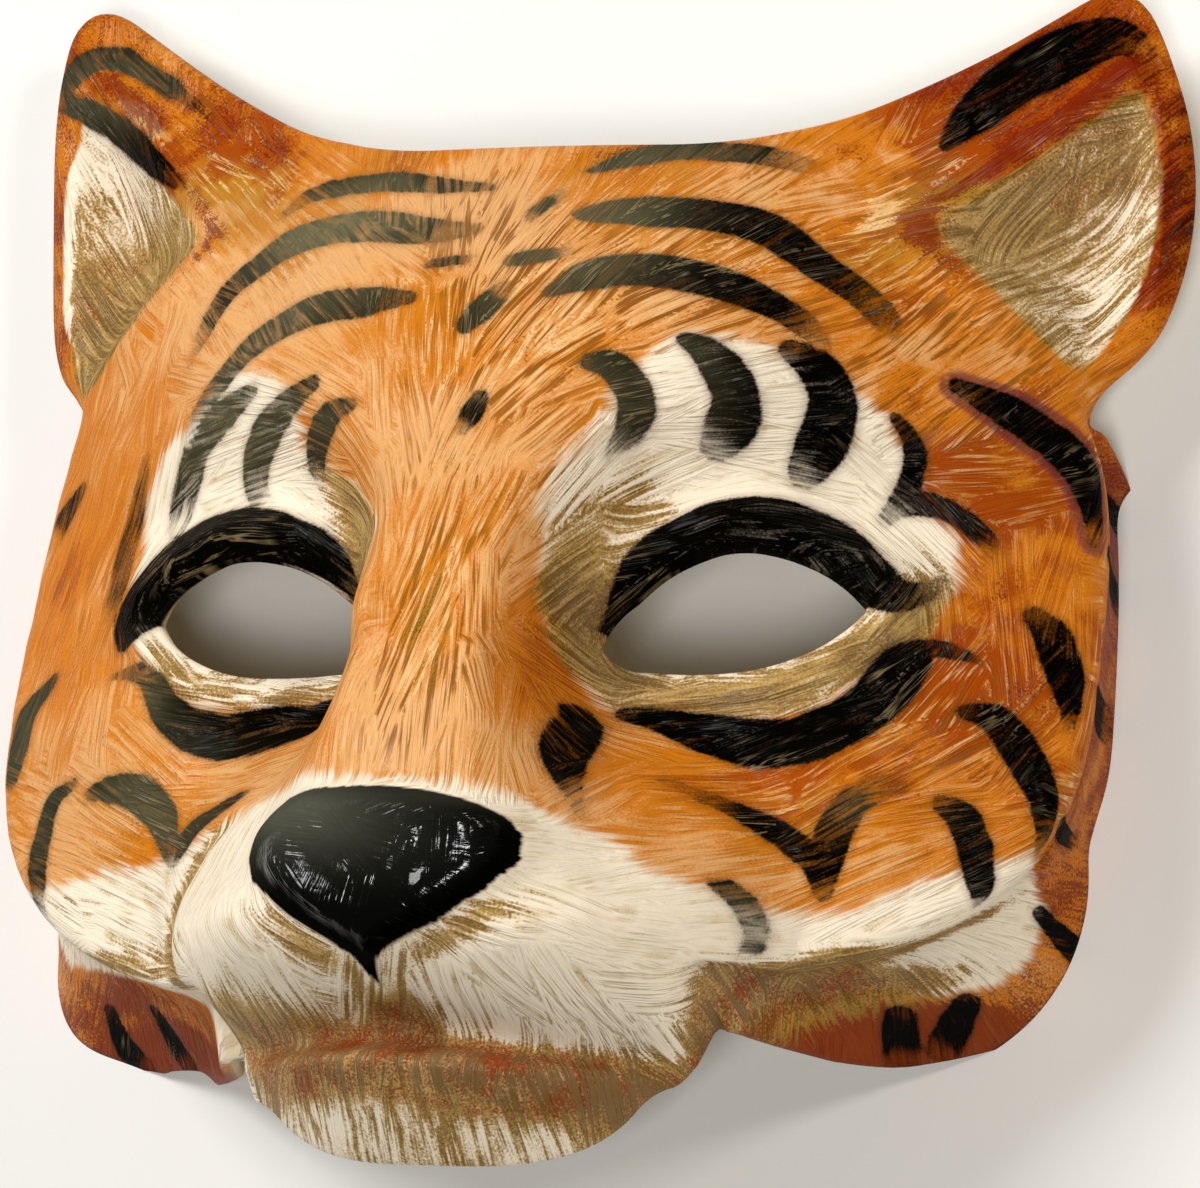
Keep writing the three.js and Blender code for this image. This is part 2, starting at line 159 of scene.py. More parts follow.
def nose_field(x, y):
    """Millimetres inside the nose leather: bowed top, upright flanks, two lines to the tip."""
    side = np.abs(x + 2.0)
    top, flank = -49.2 - y - 0.008 * side * side, 20.7 - side
    return soft_min(soft_min(top, flank, 5), (y + 72.8 - 0.68 * side) * 0.83, 5)


def mouth_line(x):
    """Height of the mouth line on the chart: it sinks to the right and arches at the middle."""
    return -79.6 + 0.003 * x * x - 0.1 * x + 1.6 * bell(x + 3, 7)


def flange_reach(foot_x, foot_y):
    """How far the flange runs beyond a ridge point: not by the ears, briefly beside the chin."""
    below = mix(13, 36, ease(33, 54, foot_x))
    return mix(ease(25, 3, foot_y) * 36, below, ease(-50, -60, foot_y))


def outline_field(x, y):
    """Millimetres inside the outline on the chart: head, ears and chin flowed together."""
    beyond, _, _, foot_x, foot_y = ridge_at(x, y)
    head = soft_min(flange_reach(foot_x, foot_y) - beyond, 55.1 + 0.0006 * x * x - y, 4)
    return soft_max(soft_max(head, ear_field(x, y), 8), chin_field(x, y), 4)


def dome(side, y):
    """Broad form: height falls from the middle to the side by a power, with swellings added."""
    middle = along([36, 38, 44, 50, 51, 51, 51, 53, 57, 61, 57, 45, 35, 30, 26], y)
    low = along([20, 20, 22, 25, 27, 26, 24, 22, 19, 17, 17, 16, 15, 15, 15], y)
    z = middle - (middle - low) * (side / 80) ** 1.75
    z = z - 1.5 * hill(side, y, (0, 34), (9, 22)) + 4.0 * hill(side, y, (30, 14), (16, 10), 8)
    z = z - 5.5 * hill(side, y, (25, -8), (10, 15), -20) - 5.5 * hill(side, y, (19, -21), (8, 9))
    return z - 2.5 * hill(side, y, (46, 2), (14, 8), -15) + 4.5 * hill(side, y, (56, -36), (18, 13), 25)


def muzzle(side, y, face):
    """A barrel that stands out of the face, sloped up to the eyes above and rounded below."""
    up = ease(-66, -48, y)
    reach = np.where(y > -62, mix(21, 36, up), 20.5)
    size = superellipse(side / mix(46, 52, up), (y + 62) / reach, mix(2.4, 2.0, up))
    inside = 1 - size**2.2
    body = np.where(inside > 0, np.maximum(inside, 0) ** mix(0.72, 1.2, up), 3 * inside)
    barrel = soft_max(face, 39 + 35.5 * body + 3 * hill(side, y, (20, -67), (13, 10)), 7)
    slope = face + (74.5 - face) * np.maximum(1 - size * size, 0) ** 1.5
    return mix(barrel, slope, up)


def bridge(side, y, face):
    """The bridge of the nose, a low crown laid over the face from forehead to nose leather."""
    across = side / along([20, 20, 20, 20, 19, 17, 14, 12, 15, 23, 28, 28, 28, 28, 28], y)
    crown = along([50, 60, 70, 74, 77, 78, 74, 69, 64, 61, 57, 45, 35, 30, 26], y) - 2.5 * across**2
    share = (1 - ease(0.55, 1.5, across)) * ease(-70, -52, y)
    return mix(face, np.maximum(face, crown), share)


def relief(x, y):
    """Height over the chart before the flange folds back: face, lids and nose leather."""
    side = np.abs(x)
    z = bridge(side, y, muzzle(side, y, dome(side, y)))
    eye = eye_field(x, y)
    upper = ease(-23, -15, y - 0.2 * (side - 35))
    z = z + mix(2.6 * bell(eye + 3.2, 3.2), 5.0 * bell(eye + 4.0, 4.4), upper)
    return z + 4.0 * ease(-2.5, 3, nose_field(x, y))


def front_surface(x, y):
    """Front point of a chart point: relief inside the ridge, folded down and back beyond it."""
    side = np.abs(x)
    beyond, ox, oy, foot_x, foot_y = ridge_at(x, y)
    share = ease(29, 19, y) * mix(1, ease(31, 39, side), ease(-40, -62, y))
    run = np.where(beyond > 3, beyond, np.maximum(beyond + 3, 0) ** 2 / 12) * share
    t = np.minimum(run / np.maximum(flange_reach(foot_x, foot_y), 8), 1.3)
    left = left_share(x)
    corner = 11 * left * hill(foot_x, foot_y, (71, -55), (10, 9))
    corner = corner - 5 * hill(foot_x, foot_y, (78, -47), (8, 13))
    flare = mix(-0.4, 6.3 + 1.3 * left, ease(-32, -56, foot_y)) + corner
    away = flare * t**1.6 - 3 * share * np.sin(np.minimum(t, 1) * np.pi)
    z = relief(x - ox * run, y - oy * run) - 0.97 * run
    jaw = 65.5 - 1.25 * np.maximum(-82 - y, 0) - 27 * (side / 33) ** 2.2
    z = mix(z, jaw, ease(-75, -84, y) * ease(40, 34, side))
    z = z - 3.4 * bell(y - mouth_line(x), 4.4) * ease(38, 24, side)
    cup = cup_field(x, y)
    z = z - 8.0 * ease(-1, 9, cup) + 1.5 * bell(cup + 3, 3) * ease(20, 40, y)
    pull = run - away
    return x - ox * pull, y - oy * pull, z


# The shell: one wall of pasted paper, cut along the outline and the eyes, its edges rounded by
# hand. A fine grid on the chart, clipped along the outline, the eye openings and the table, gives
# the front. The back lies a wall behind it, and rounded strips close the edge between them.

WALL = 3.0
EDGE_ROUND = 0.5
RINGS = (0.1, 0.35, 0.65, 0.9)  # shares of the wall at which the strips of the edge are laid
CHART_AT = (0.66, 4.34)
SNAP = 0.3
HALVINGS = 24


def gradient(field, x, y, step):
    """Slopes of a field across and up, from its values a step to each side."""
    gx = field(x + step, y) - field(x - step, y)
    gy = field(x, y + step) - field(x, y - step)
    return gx / (2 * step), gy / (2 * step)


def unit(vectors):
    """Each vector divided by its own length."""
    return vectors / np.linalg.norm(vectors, axis=1, keepdims=True)


def chords(x, y, step):
    """Chords of the front surface from a step on one side to a step on the other, and the normal."""
    across = np.stack(front_surface(x + step, y), 1) - np.stack(front_surface(x - step, y), 1)
    up = np.stack(front_surface(x, y + step), 1) - np.stack(front_surface(x, y - step), 1)
    return across, up, unit(np.cross(across, up))


def hand_relief(x, y):
    """Small unevenness of the modelling: philtrum, crease beside the pads, and soft lumps."""
    z = -1.8 * bell(x, 2.2) * ease(-73, -77, y) * ease(-90, -81, y)
    crease = np.hypot((x + 22) / 20.5, (y + 66) / 18.5) - 1
    z = z - 1.3 * bell(crease * 19, 1.5) * ease(-24, -34, x) * ease(-84, -74, y)
    lumps = np.sin(x * 0.31 + 1.3 * np.sin(y * 0.23)) * np.sin(y * 0.37 + 1.1 * np.sin(x * 0.19 + 2))
    fine = np.sin(x * 0.83 + 2 * np.sin(y * 0.41)) * np.sin(y * 0.71 + 1.7 * np.sin(x * 0.53))
    return z + (0.22 * lumps + 0.07 * fine) * ease(0, 5, outline_field(x, y))


def material_field(x, y):
    """Millimetres inside the material: inside the outline, outside the eyes, above the table."""
    rim = np.minimum(outline_field(x, y), -eye_field(x, y)) - EDGE_ROUND
    return np.minimum(rim, front_surface(x, y)[2])


def grid_lines(start, end, fine_start, fine_end, fine, wide):
    """Grid lines, close together in the fine stretch."""
    parts = [np.linspace(fine_start, fine_end, round((fine_end - fine_start) / fine) + 1)]
    if fine_start > start:
        parts.insert(0, np.linspace(start, fine_start, round((fine_start - start) / wide), endpoint=False))
    parts.append(np.linspace(end, fine_end, round((end - fine_end) / wide), endpoint=False)[::-1])
    return np.concatenate(parts)


def clipped_chart():
    """Chart points and triangles of the material.

    Grid points nearer than SNAP to the zero line of the field are moved onto it by one Newton step.
    Then each triangle keeps its part with a positive field: its edges that cross zero are halved
    until the crossing is found.
    """
    xs = grid_lines(-122, 122, -60, 60, 0.8, 1.1)
    ys = grid_lines(-102, 92, -102, 30, 0.8, 1.1)
    x, y = (g.ravel() for g in np.meshgrid(xs, ys))
    field = material_field(x, y)
    gx, gy = gradient(material_field, x, y, 0.02)
    steep = gx * gx + gy * gy + 1e-12
    near = np.abs(field) / np.sqrt(steep) < SNAP
    nx, ny = x - field * gx / steep, y - field * gy / steep
    near &= np.abs(material_field(nx, ny)) < 0.1
    x, y, field = np.where(near, nx, x), np.where(near, ny, y), np.where(near, 0, field)
    j, i = np.mgrid[0 : len(ys) - 1, 0 : len(xs) - 1]
    a = (j * len(xs) + i).ravel()
    b, c, d = a + 1, a + len(xs) + 1, a + len(xs)
    z = front_surface(x, y)[2]
    level = np.abs(z[a] - z[c]) < np.abs(z[b] - z[d])
    first = np.where(level[:, None], np.stack([a, b, c], 1), np.stack([a, b, d], 1))
    second = np.where(level[:, None], np.stack([a, c, d], 1), np.stack([b, c, d], 1))
    tris = np.concatenate([first, second])
    sign = np.sign(field)[tris].astype(int)
    tris, sign = tris[sign.max(1) > 0], sign[sign.max(1) > 0]
    whole = tris[sign.min(1) >= 0]
    cut, sign = tris[sign.min(1) < 0], sign[sign.min(1) < 0]
    lone = np.where((sign < 0).sum(1) == 2, np.argmax(sign > 0, 1), np.argmax(sign < 0, 1))
    rows = np.arange(len(cut))[:, None]
    turn = (lone[:, None] + np.arange(3)) % 3
    cut, sign = cut[rows, turn], sign[rows, turn]
    alone = sign[:, 0] > 0
    both = (sign[:, 0] < 0) & (sign[:, 1] > 0) & (sign[:, 2] > 0)
    next_on = (sign[:, 0] < 0) & (sign[:, 1] > 0) & (sign[:, 2] == 0)
    last_on = (sign[:, 0] < 0) & (sign[:, 1] == 0) & (sign[:, 2] > 0)

    def crossed(kind, p, q):
        return np.sort(np.stack([cut[kind, p], cut[kind, q]], 1), 1)

    pairs = np.concatenate([
        crossed(alone, 0, 1), crossed(alone, 2, 0), crossed(both, 0, 1), crossed(both, 2, 0),
        crossed(next_on, 0, 1), crossed(last_on, 2, 0),
    ])
    pairs, number = np.unique(pairs, axis=0, return_inverse=True)
    number = number.ravel() + len(x)
    cuts = np.split(number, np.cumsum([alone.sum(), alone.sum(), both.sum(), both.sum(), next_on.sum()]))
    extra = np.concatenate([
        np.stack([cut[alone, 0], cuts[0], cuts[1]], 1),
        np.stack([cuts[2], cut[both, 1], cut[both, 2]], 1),
        np.stack([cuts[2], cut[both, 2], cuts[3]], 1),
        np.stack([cuts[4], cut[next_on, 1], cut[next_on, 2]], 1),
        np.stack([cut[last_on, 1], cut[last_on, 2], cuts[5]], 1),
    ])
    p, q = pairs[:, 0], pairs[:, 1]
    inside, outside = np.where(field[p] > 0, p, q), np.where(field[p] > 0, q, p)
    ix, iy, ox, oy = x[inside], y[inside], x[outside], y[outside]
    for _ in range(HALVINGS):
        mx, my = (ix + ox) / 2, (iy + oy) / 2
        good = material_field(mx, my) > 0
        ix, iy = np.where(good, mx, ix), np.where(good, my, iy)
        ox, oy = np.where(good, ox, mx), np.where(good, oy, my)
    x, y = np.concatenate([x, ix]), np.concatenate([y, iy])
    edge = np.concatenate([field == 0, np.ones(len(ix), bool)])
    tris = np.concatenate([whole, extra])
    used, tris = np.unique(tris, return_inverse=True)
    return x[used], y[used], edge[used], tris.reshape(-1, 3)


def shell_mesh():
    """The closed shell: vertices, triangles, depth from front to back, and the front point of each.

    Then the front points themselves, on the chart and in space.
    """
    x, y, edge, tris = clipped_chart()
    fx, fy, fz = front_surface(x, y)
    fz = fz + hand_relief(x, y) * ease(0, 6, fz)
    touching = 0.2
    on_table = edge & (fz < touching)
    fz = np.where(on_table, 0, fz)
    front = np.stack([fx, fy, fz], 1)
    _, _, normal = chords(x, y, 5.0)
    normal[:, 2] *= ease(0, 8, fz)
    normal = unit(normal)
    back = front - WALL * normal
    count = len(x)
    directed = np.concatenate([tris[:, [0, 1]], tris[:, [1, 2]], tris[:, [2, 0]]])
    key = np.sort(directed, 1) @ np.array([count, 1])
    _, first, uses = np.unique(key, return_index=True, return_counts=True)
    open_edges = directed[first[uses == 1]]
    outward = np.zeros((count, 3))
    run = np.cross(front[open_edges[:, 1]] - front[open_edges[:, 0]], normal[open_edges[:, 0]])
    np.add.at(outward, open_edges[:, 0], run)
    np.add.at(outward, open_edges[:, 1], run)
    outward /= np.linalg.norm(outward, axis=1, keepdims=True) + 1e-12
    rim = np.unique(open_edges)
    slot_of = np.full(count, -1)
    slot_of[rim] = np.arange(len(rim))
    bulge = np.where(on_table[rim], 0, EDGE_ROUND)[:, None] * outward[rim]
    verts, depth, source = [front, back], [np.zeros(count), np.ones(count)], [np.arange(count)] * 2
    for t in RINGS:
        ring = mix(front[rim], back[rim], t) + bulge * np.sqrt(1 - (2 * t - 1) ** 2) * 1.6
        verts.append(ring)
        depth.append(np.full(len(rim), t * 0.98))
        source.append(rim)
    a, b = open_edges[:, 0], open_edges[:, 1]
    level = [(a, b)]
    for k in range(len(RINGS)):
        start = 2 * count + k * len(rim)
        level.append((start + slot_of[a], start + slot_of[b]))
    level.append((a + count, b + count))
    strips = []
    for (a0, b0), (a1, b1) in zip(level[:-1], level[1:]):
        strips += [np.stack([a0, a1, b1], 1), np.stack([a0, b1, b0], 1)]
    faces = np.concatenate([tris, tris[:, ::-1] + count] + strips)
    verts = np.concatenate(verts) + np.array([CHART_AT[0], CHART_AT[1], 0])
    verts[:, 2] = np.maximum(verts[:, 2], 0)
    return verts, faces, np.concatenate(depth), np.concatenate(source), x, y, front


def placed(name, data):
    """A new object of the scene for a mesh, a lamp or a camera."""
    made = bpy.data.objects.new(name, data)
    bpy.context.scene.collection.objects.link(made)
    return made


verts, faces, depth, source, front_x, front_y, front_points = shell_mesh()
mesh = bpy.data.meshes.new("painted_shell")
mesh.vertices.add(len(verts))
mesh.vertices.foreach_set("co", (verts / 1000).ravel())
mesh.loops.add(3 * len(faces))
mesh.loops.foreach_set("vertex_index", faces.ravel())
mesh.polygons.add(len(faces))
mesh.polygons.foreach_set("loop_start", np.arange(0, 3 * len(faces), 3))
mesh.update(calc_edges=True)
mesh.polygons.foreach_set("use_smooth", np.ones(len(faces), bool))
shell = placed("painted_shell", mesh)
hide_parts("mask_shell")
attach(shell, "root")

# The painting, tempera laid over gesso with a bristle brush: stripes, pale grounds round the eyes
# and on the muzzle, deep and red passages, and a khaki wash, each a field on the chart, kept on the
# shell's vertices. Painted light and shade lie among them: a sheen on the black, a highlight along
# the right ridge, and shade under the left cheek, beside the left pad and under the muzzle pads.
# The brush dabs are kept on triangle corners, so none runs into the next.


def smoothed(points, parts=8):
    """Catmull-Rom curve through points (x, y, width), as a longer list of the same."""
    p = np.array(points, float)
    p = np.vstack([2 * p[0] - p[1], p, 2 * p[-1] - p[-2]])
    t = np.linspace(0, 1, parts, endpoint=False)[:, None]
    pieces = []
    for a, b, c, d in zip(p[:-3], p[1:-2], p[2:-1], p[3:]):
        bent = (2 * a - 5 * b + 4 * c - d) * t**2 + (3 * b - a - 3 * c + d) * t**3
        pieces.append(0.5 * (2 * b + (c - a) * t + bent))
    return np.vstack(pieces + [p[-2:-1]])


def stroke_field(x, y, points, reach=6):
    """Millimetres inside a stroke of varying width, -reach far from it, and the place along it."""
    line = smoothed(points)
    inside, place = np.full(len(x), -float(reach)), np.zeros(len(x))
    low, high = line[:, :2].min(0) - reach - 4, line[:, :2].max(0) + reach + 4
    near = np.where((x > low[0]) & (x < high[0]) & (y > low[1]) & (y < high[1]))[0]
    nx, ny = x[near], y[near]
    best, at = inside[near], place[near]
    for number, ((ax, ay, aw), (bx, by, bw)) in enumerate(zip(line[:-1], line[1:])):
        dx, dy = bx - ax, by - ay
        t = np.clip(((nx - ax) * dx + (ny - ay) * dy) / (dx * dx + dy * dy), 0, 1)
        field = (aw + (bw - aw) * t) / 2 - np.hypot(nx - ax - dx * t, ny - ay - dy * t)
        at = np.where(field > best, (number + t) / (len(line) - 1), at)
        best = np.maximum(best, field)
    inside[near], place[near] = best, at
    return inside, place


def polygon_field(x, y, corners):
    """Millimetres inside a closed outline, negative outside."""
    p = np.array(corners, float)
    q = np.roll(p, -1, 0)
    nearest, inside = np.full(len(x), 1e9), np.zeros(len(x), bool)
    for (ax, ay), (bx, by) in zip(p, q):
        dx, dy = bx - ax, by - ay
        t = np.clip(((x - ax) * dx + (y - ay) * dy) / (dx * dx + dy * dy), 0, 1)
        nearest = np.minimum(nearest, np.hypot(x - ax - dx * t, y - ay - dy * t))
        inside ^= ((ay > y) != (by > y)) & (x < ax + dx * (y - ay) / (dy if dy else 1e-9))
    return np.where(inside, nearest, -nearest)


# The stripe on the right ridge, whose purplish edge bled into the orange.
EDGE_STRIPE = [
    (62, 19.7, 2.5), (67, 17.9, 4.5), (70.8, 16, 5.4), (74.6, 13.7, 5.4), (77.6, 10.4, 5), (78.9, 7, 4),
    (79.6, 3.5, 3), (79.8, 0.8, 2),
]

# Each stroke: how densely the black covers, then its points (x, y, width).
STROKES = [
    # forehead, right
    (0.9, [(7.5, 49.7, 1.2), (13, 52, 3.4), (20, 53.6, 3.8), (28, 53.8, 3.6), (34, 53.3, 3.4),
        (39, 52.2, 2.2)]),
    (0.92, [(9, 41.2, 2), (14.6, 41.9, 5), (21.6, 41.9, 6), (27.7, 41.9, 5.8), (33.5, 41, 5.6),
        (38.3, 38.5, 5.2), (42.8, 35.3, 4.6), (47.2, 32.6, 4.2), (51.5, 29, 3.8), (53.7, 25.8, 2)]),
    (0.95, [(8.8, 26.8, 2.2), (14.2, 30, 5.5), (20.7, 31, 5.8), (27.6, 30.7, 5.5), (34.2, 29.2, 5),
        (39.2, 27.2, 4), (42.7, 25.2, 3.5), (45.5, 22.5, 2)]),
    # forehead, left
    (0.8, [(-5.8, 46.8, 1), (-14.5, 47.9, 3), (-23.2, 49.3, 3.6), (-30.9, 49.6, 3.6), (-37.3, 49.1, 3.2),
        (-40.8, 46.5, 1.6)]),
    (0.78, [(-5.3, 38.6, 2), (-12.5, 38.5, 4.6), (-21, 40.3, 6), (-30.4, 41.1, 6), (-38, 40, 6),
        (-42.4, 37.4, 5.5), (-46.8, 34, 4.5), (-49.6, 29.2, 3.6), (-51, 25, 2.4), (-52, 22, 1)]),
    (0.8, [(-11.9, 26.3, 2.4), (-19, 26.1, 5), (-26.6, 26, 5.6), (-32.6, 24.6, 5.6), (-38.7, 22, 5),
        (-43.5, 18, 4.4), (-48, 14, 3.4), (-50.5, 10, 1.6)]),
    # dashes and spots in the middle
    (0.8, [(2, 41.2, 2.4), (4.6, 45.2, 2.6)]),
    (0.8, [(-10.4, 32.2, 1.6), (-7, 32.7, 2), (-3.8, 33, 1.6)]),
    (0.85, [(1.6, 32.4, 2), (5.5, 33.2, 2.6), (10, 33.9, 1.8)]),
    (0.85, [(-2.2, 21.6, 3), (0, 24.2, 4), (2, 27.2, 3.2)]),
    (0.85, [(1.8, 9.9, 2.8), (1.2, 7.8, 3.4), (0.2, 5.6, 2.4)]),
    # over the right eye
    (0.95, [(16.4, 15.8, 2.6), (19.8, 15.4, 4.4), (22.6, 12.6, 5), (23.2, 9.8, 4.8), (22, 6.6, 3),
        (19.3, 3.2, 0.8)]),
    (0.97, [(28.8, 20.2, 2), (31.4, 19, 4), (34, 16.4, 5.6), (35.8, 13, 6), (35.4, 10, 6), (33.6, 7.4, 5),
        (32.3, 6, 3)]),
    (1, [(42, 20.8, 3.5), (45.2, 18.8, 5.5), (47.3, 15, 6), (47, 11.6, 6), (46, 8.4, 6), (44.4, 5.6, 5),
        (43.6, 3.9, 3.5)]),
    (0.95, [(54.9, 13.6, 1.4), (56.6, 11.3, 2.6), (57.4, 8.6, 3.0), (57, 5.4, 3.0), (55.8, 2.2, 3.0),
        (54.1, -0.8, 2.2)]),
    (0.8, [(55.5, 0.8, 2.2), (58.4, 2.2, 3.4), (61.5, 1.8, 3.4), (64.3, 0.2, 3.2), (66.9, -2.2, 3),
        (69.3, -5, 1.8)]),
    # over the left eye
    (0.78, [(-17.8, 10.2, 1.8), (-21.6, 9.2, 3.8), (-24.6, 6.8, 4.2), (-26, 4.2, 3.2), (-25.4, 2.4, 1.2)]),
    (0.82, [(-25.1, 13.6, 2.2), (-29.8, 11.4, 4.2), (-34.2, 8.7, 5.2), (-36.8, 5, 5.2), (-36.8, 1.6, 4),
        (-35, 0, 2)]),
    (0.8, [(-36.6, 14.6, 2.5), (-42.4, 12.6, 4.5), (-47.9, 9.5, 5), (-50.5, 5.3, 5.2), (-51.5, 1.6, 5),
        (-52, -1.2, 4)]),
    (0.6, [(-59.5, 10, 1.5), (-60.3, 4.2, 3), (-61.3, -0.9, 3.8), (-62.4, -8, 4), (-63, -12.3, 3.6),
        (-64, -16.4, 2)]),
    # lids
    (1, [(17.8, -19.5, 1.2), (20.5, -15, 3.5), (24, -10.5, 6), (30, -7.2, 8.4), (36, -5, 9), (42, -4.6, 9),
        (48, -6.6, 9), (53, -10.2, 7.6), (57, -12.4, 5), (60, -11.4, 3), (62.4, -8, 0.6)]),
    (1, [(22.2, -31.8, 2.4), (26.8, -32.3, 3.4), (32.3, -33.7, 5.2), (39.2, -34.8, 6.8), (46.6, -34, 7),
        (52.6, -30.6, 7), (56.6, -25.8, 7), (58.5, -22, 6), (60.7, -19, 3), (64.5, -18.8, 2),
        (67.7, -19.8, 0.6)]),
    (1, [(-59, -18.5, 3), (-57.6, -16, 7), (-54.5, -12.4, 9.6), (-50, -8.6, 10.6), (-44, -6, 9),
        (-37, -5.4, 8.4), (-30, -6.4, 6.8), (-24, -9.2, 5.6), (-19.5, -13.5, 3), (-16.8, -18, 1),
        (-16, -20, 0.5)]),
    (1, [(-19.5, -30, 2), (-21, -31, 3), (-23.8, -33.2, 5.6), (-30, -34.2, 6.4), (-37, -34.7, 6.6),
        (-43, -33.6, 6.4), (-47.6, -31, 5.6), (-51.2, -26.5, 4.4), (-55, -23.8, 2.6), (-60.5, -23.5, 1.2)]),
    # beside the nose and on the pads
    (0.9, [(17.7, -33.3, 2.5), (18.8, -36, 4.6), (19, -40.3, 4.8), (20.3, -44.2, 3), (22.8, -49.5, 1)]),
    (0.75, [(38.1, -55.8, 1.2), (40.3, -56.8, 2.8), (42.4, -59, 3.2), (43.2, -61.6, 2.8), (42.9, -64.4, 1.8),
        (41.8, -66.4, 0.8)]),
    # right cheek
    (1, EDGE_STRIPE),
    (0.95, [(73.6, -11.8, 3), (76, -14.8, 5), (78, -19.8, 4.8), (79, -24.2, 3.2), (79.1, -27.8, 1.2)]),
    (0.92, [(66.5, -27.5, 2.2), (70.2, -27.8, 4.2), (72.8, -30.6, 5), (75.2, -34.5, 4.8), (76.9, -38, 4),
        (77.9, -42.5, 3.2), (78, -47, 1.6)]),
    (0.95, [(64.8, -41, 2.6), (67.2, -42.3, 4.4), (68.9, -45.8, 4.6), (69.7, -49.6, 4), (70.4, -52.8, 3),
        (70.3, -55, 1.2)]),
    (0.85, [(50.6, -55, 2), (49.6, -51, 4.4), (46.5, -48.6, 3.8), (42.5, -46.3, 3.2), (37.4, -44.3, 2.2),
        (30, -42, 1)]),
    (0.8, [(50.4, -55, 2.4), (50.6, -50, 4.6), (52, -45.4, 4.6), (55.2, -41.4, 4), (59.6, -39, 2.6)]),
    # left cheek
    (0.75, [(-74.4, 8.6, 2), (-77.4, 5.2, 4), (-79.8, 2, 4)]),
    (0.9, [(-73, -21.6, 1.5), (-77.6, -25.8, 4), (-79, -31.2, 4.6), (-79.5, -36.2, 3.4), (-79.5, -38, 1.5)]),
    (0.88, [(-64.4, -39.4, 1.5), (-68.6, -41, 3), (-70.4, -44.6, 3.6), (-71.4, -49.3, 3.8),
        (-71, -54.3, 3.4), (-70, -59, 2)]),
    (0.85, [(-61.5, -41.6, 1.5), (-56.8, -41.2, 4), (-51.5, -42.4, 5.4), (-47.6, -45.6, 5.4),
        (-45, -50.2, 4.4), (-43.6, -52.6, 2.6)]),
    (0.85, [(-43.4, -52, 3), (-39.6, -48.8, 3.4), (-35, -46.6, 2.4), (-30.7, -44.9, 1.4), (-29, -44, 0.6)]),
    # ruff, right then left
    (1, [(84, 13, 4), (92, 12, 5), (101, 11, 5)]),
    (1, [(84, 0, 3), (92, -1, 5), (101, -2, 5)]),
    (0.95, [(86, -21, 4), (93, -21.5, 6), (101, -22, 6)]),
    (0.95, [(82, -42, 3), (90, -46, 5), (98, -50, 5)]),
    (0.9, [(85, -68, 2.6), (88, -78, 4.5), (90.5, -88, 4)]),
    (1, [(59, -90.5, 5), (58, -94, 5.5), (57, -99, 5.5)]),
    (1, [(69.5, -87, 3.5), (66.5, -92, 5), (63, -98, 5)]),
    (0.9, [(-98, -82, 3), (-92, -92, 4), (-86, -98, 4)]),
    (0.9, [(-75, -87, 2.5), (-74, -95, 4), (-70, -101, 4)]),
    (0.9, [(-63, -89, 2.5), (-62, -95, 4), (-60, -101, 4)]),
    # ears, right then left
    (0.9, [(55.5, 58, 2), (58.8, 63.5, 6), (63.7, 69, 8), (70, 73.6, 8), (76, 76.8, 6.4), (80.2, 75.6, 4),
        (82.6, 71, 3)]),
    (0.42, [(84, 70, 3), (87, 62, 4.5), (87.5, 52, 5), (87, 42, 4), (84, 34, 2)]),
    (0.9, [(-90, 73, 3), (-86, 78, 4.5), (-80, 79, 4), (-75, 76.4, 3), (-70, 73.4, 3.4), (-66, 70.6, 2),
        (-61, 67, 1)]),
    (0.95, [(-90, 73, 2), (-83, 70.2, 4), (-77, 66.5, 4), (-71, 61.4, 4), (-65.5, 57, 3), (-62, 54.6, 1.4)]),
]

WHITE_GROUNDS = [
    # over and beside the right eye
    [
        (12.5, -6), (14, 0), (17, 5), (21, 11), (24, 16), (28.5, 21), (36, 21.5), (43, 20.8), (49, 18.2),
        (54, 13.5), (57.5, 8), (57, 2), (62.5, -2), (64, -8), (61, -16), (56, -23), (48, -29.5), (38, -31.5),
        (28, -31.5), (20, -30.5), (15.5, -25), (13.5, -16),
    ],
    # over and beside the left eye
    [
        (-32.6, 15.5), (-42, 19.5), (-49, 13), (-55.4, 9.8), (-58.6, 3.4), (-58.6, -6), (-58.5, -13),
        (-56.5, -19), (-49.3, -26), (-42.5, -30), (-30.5, -32), (-19.5, -29), (-15, -22), (-12.5, -15),
        (-12, -8), (-18.5, -1), (-23.2, 1.5), (-28, 7), (-27.5, 12.5),
    ],
    # muzzle, chin and the lower edges of the cheeks
    [
        (-71, -54), (-64, -53.5), (-57, -53), (-50, -53.8), (-43.5, -53.4), (-38, -51), (-31, -49),
        (-26, -46.5), (-20, -47), (0, -47.5), (14, -48.5), (20, -50.5), (26, -52.5), (31, -55.5), (37, -57),
        (42, -58.2), (48, -58.6), (55, -56.4), (62.5, -52.3), (70, -49), (76.5, -46.5), (80, -50), (84, -58),
        (85.5, -68), (82, -78), (75, -84), (66, -85.5), (56, -82.5), (48, -82), (42, -84), (38, -90),
        (30, -104), (-30, -104), (-38, -92), (-42, -84), (-50, -80), (-60, -79), (-70, -78), (-82, -76),
        (-88, -68), (-84, -60), (-78, -56),
    ],
]

NOSE_LACQUER = [
    (-22.7, -57), (-20.7, -61), (-13.5, -66.3), (-7.5, -69.7), (-5.2, -71), (-3.4, -74), (-1.6, -71.3),
    (1.5, -69.6), (8, -66.7), (14, -62.6), (18, -58.4), (18.3, -55), (16.6, -52.6), (13, -51.2), (7, -49.9),
    (0, -49.3), (-10, -49.3), (-16, -50), (-20.7, -52.8),
]


def hills(x, y, places):
    """Sum of hills (height, x, y, radius across, radius up, turn in degrees)."""
    return sum(height * hill(x, y, (ax, ay), (rx, ry), turn) for height, ax, ay, rx, ry, turn in places)


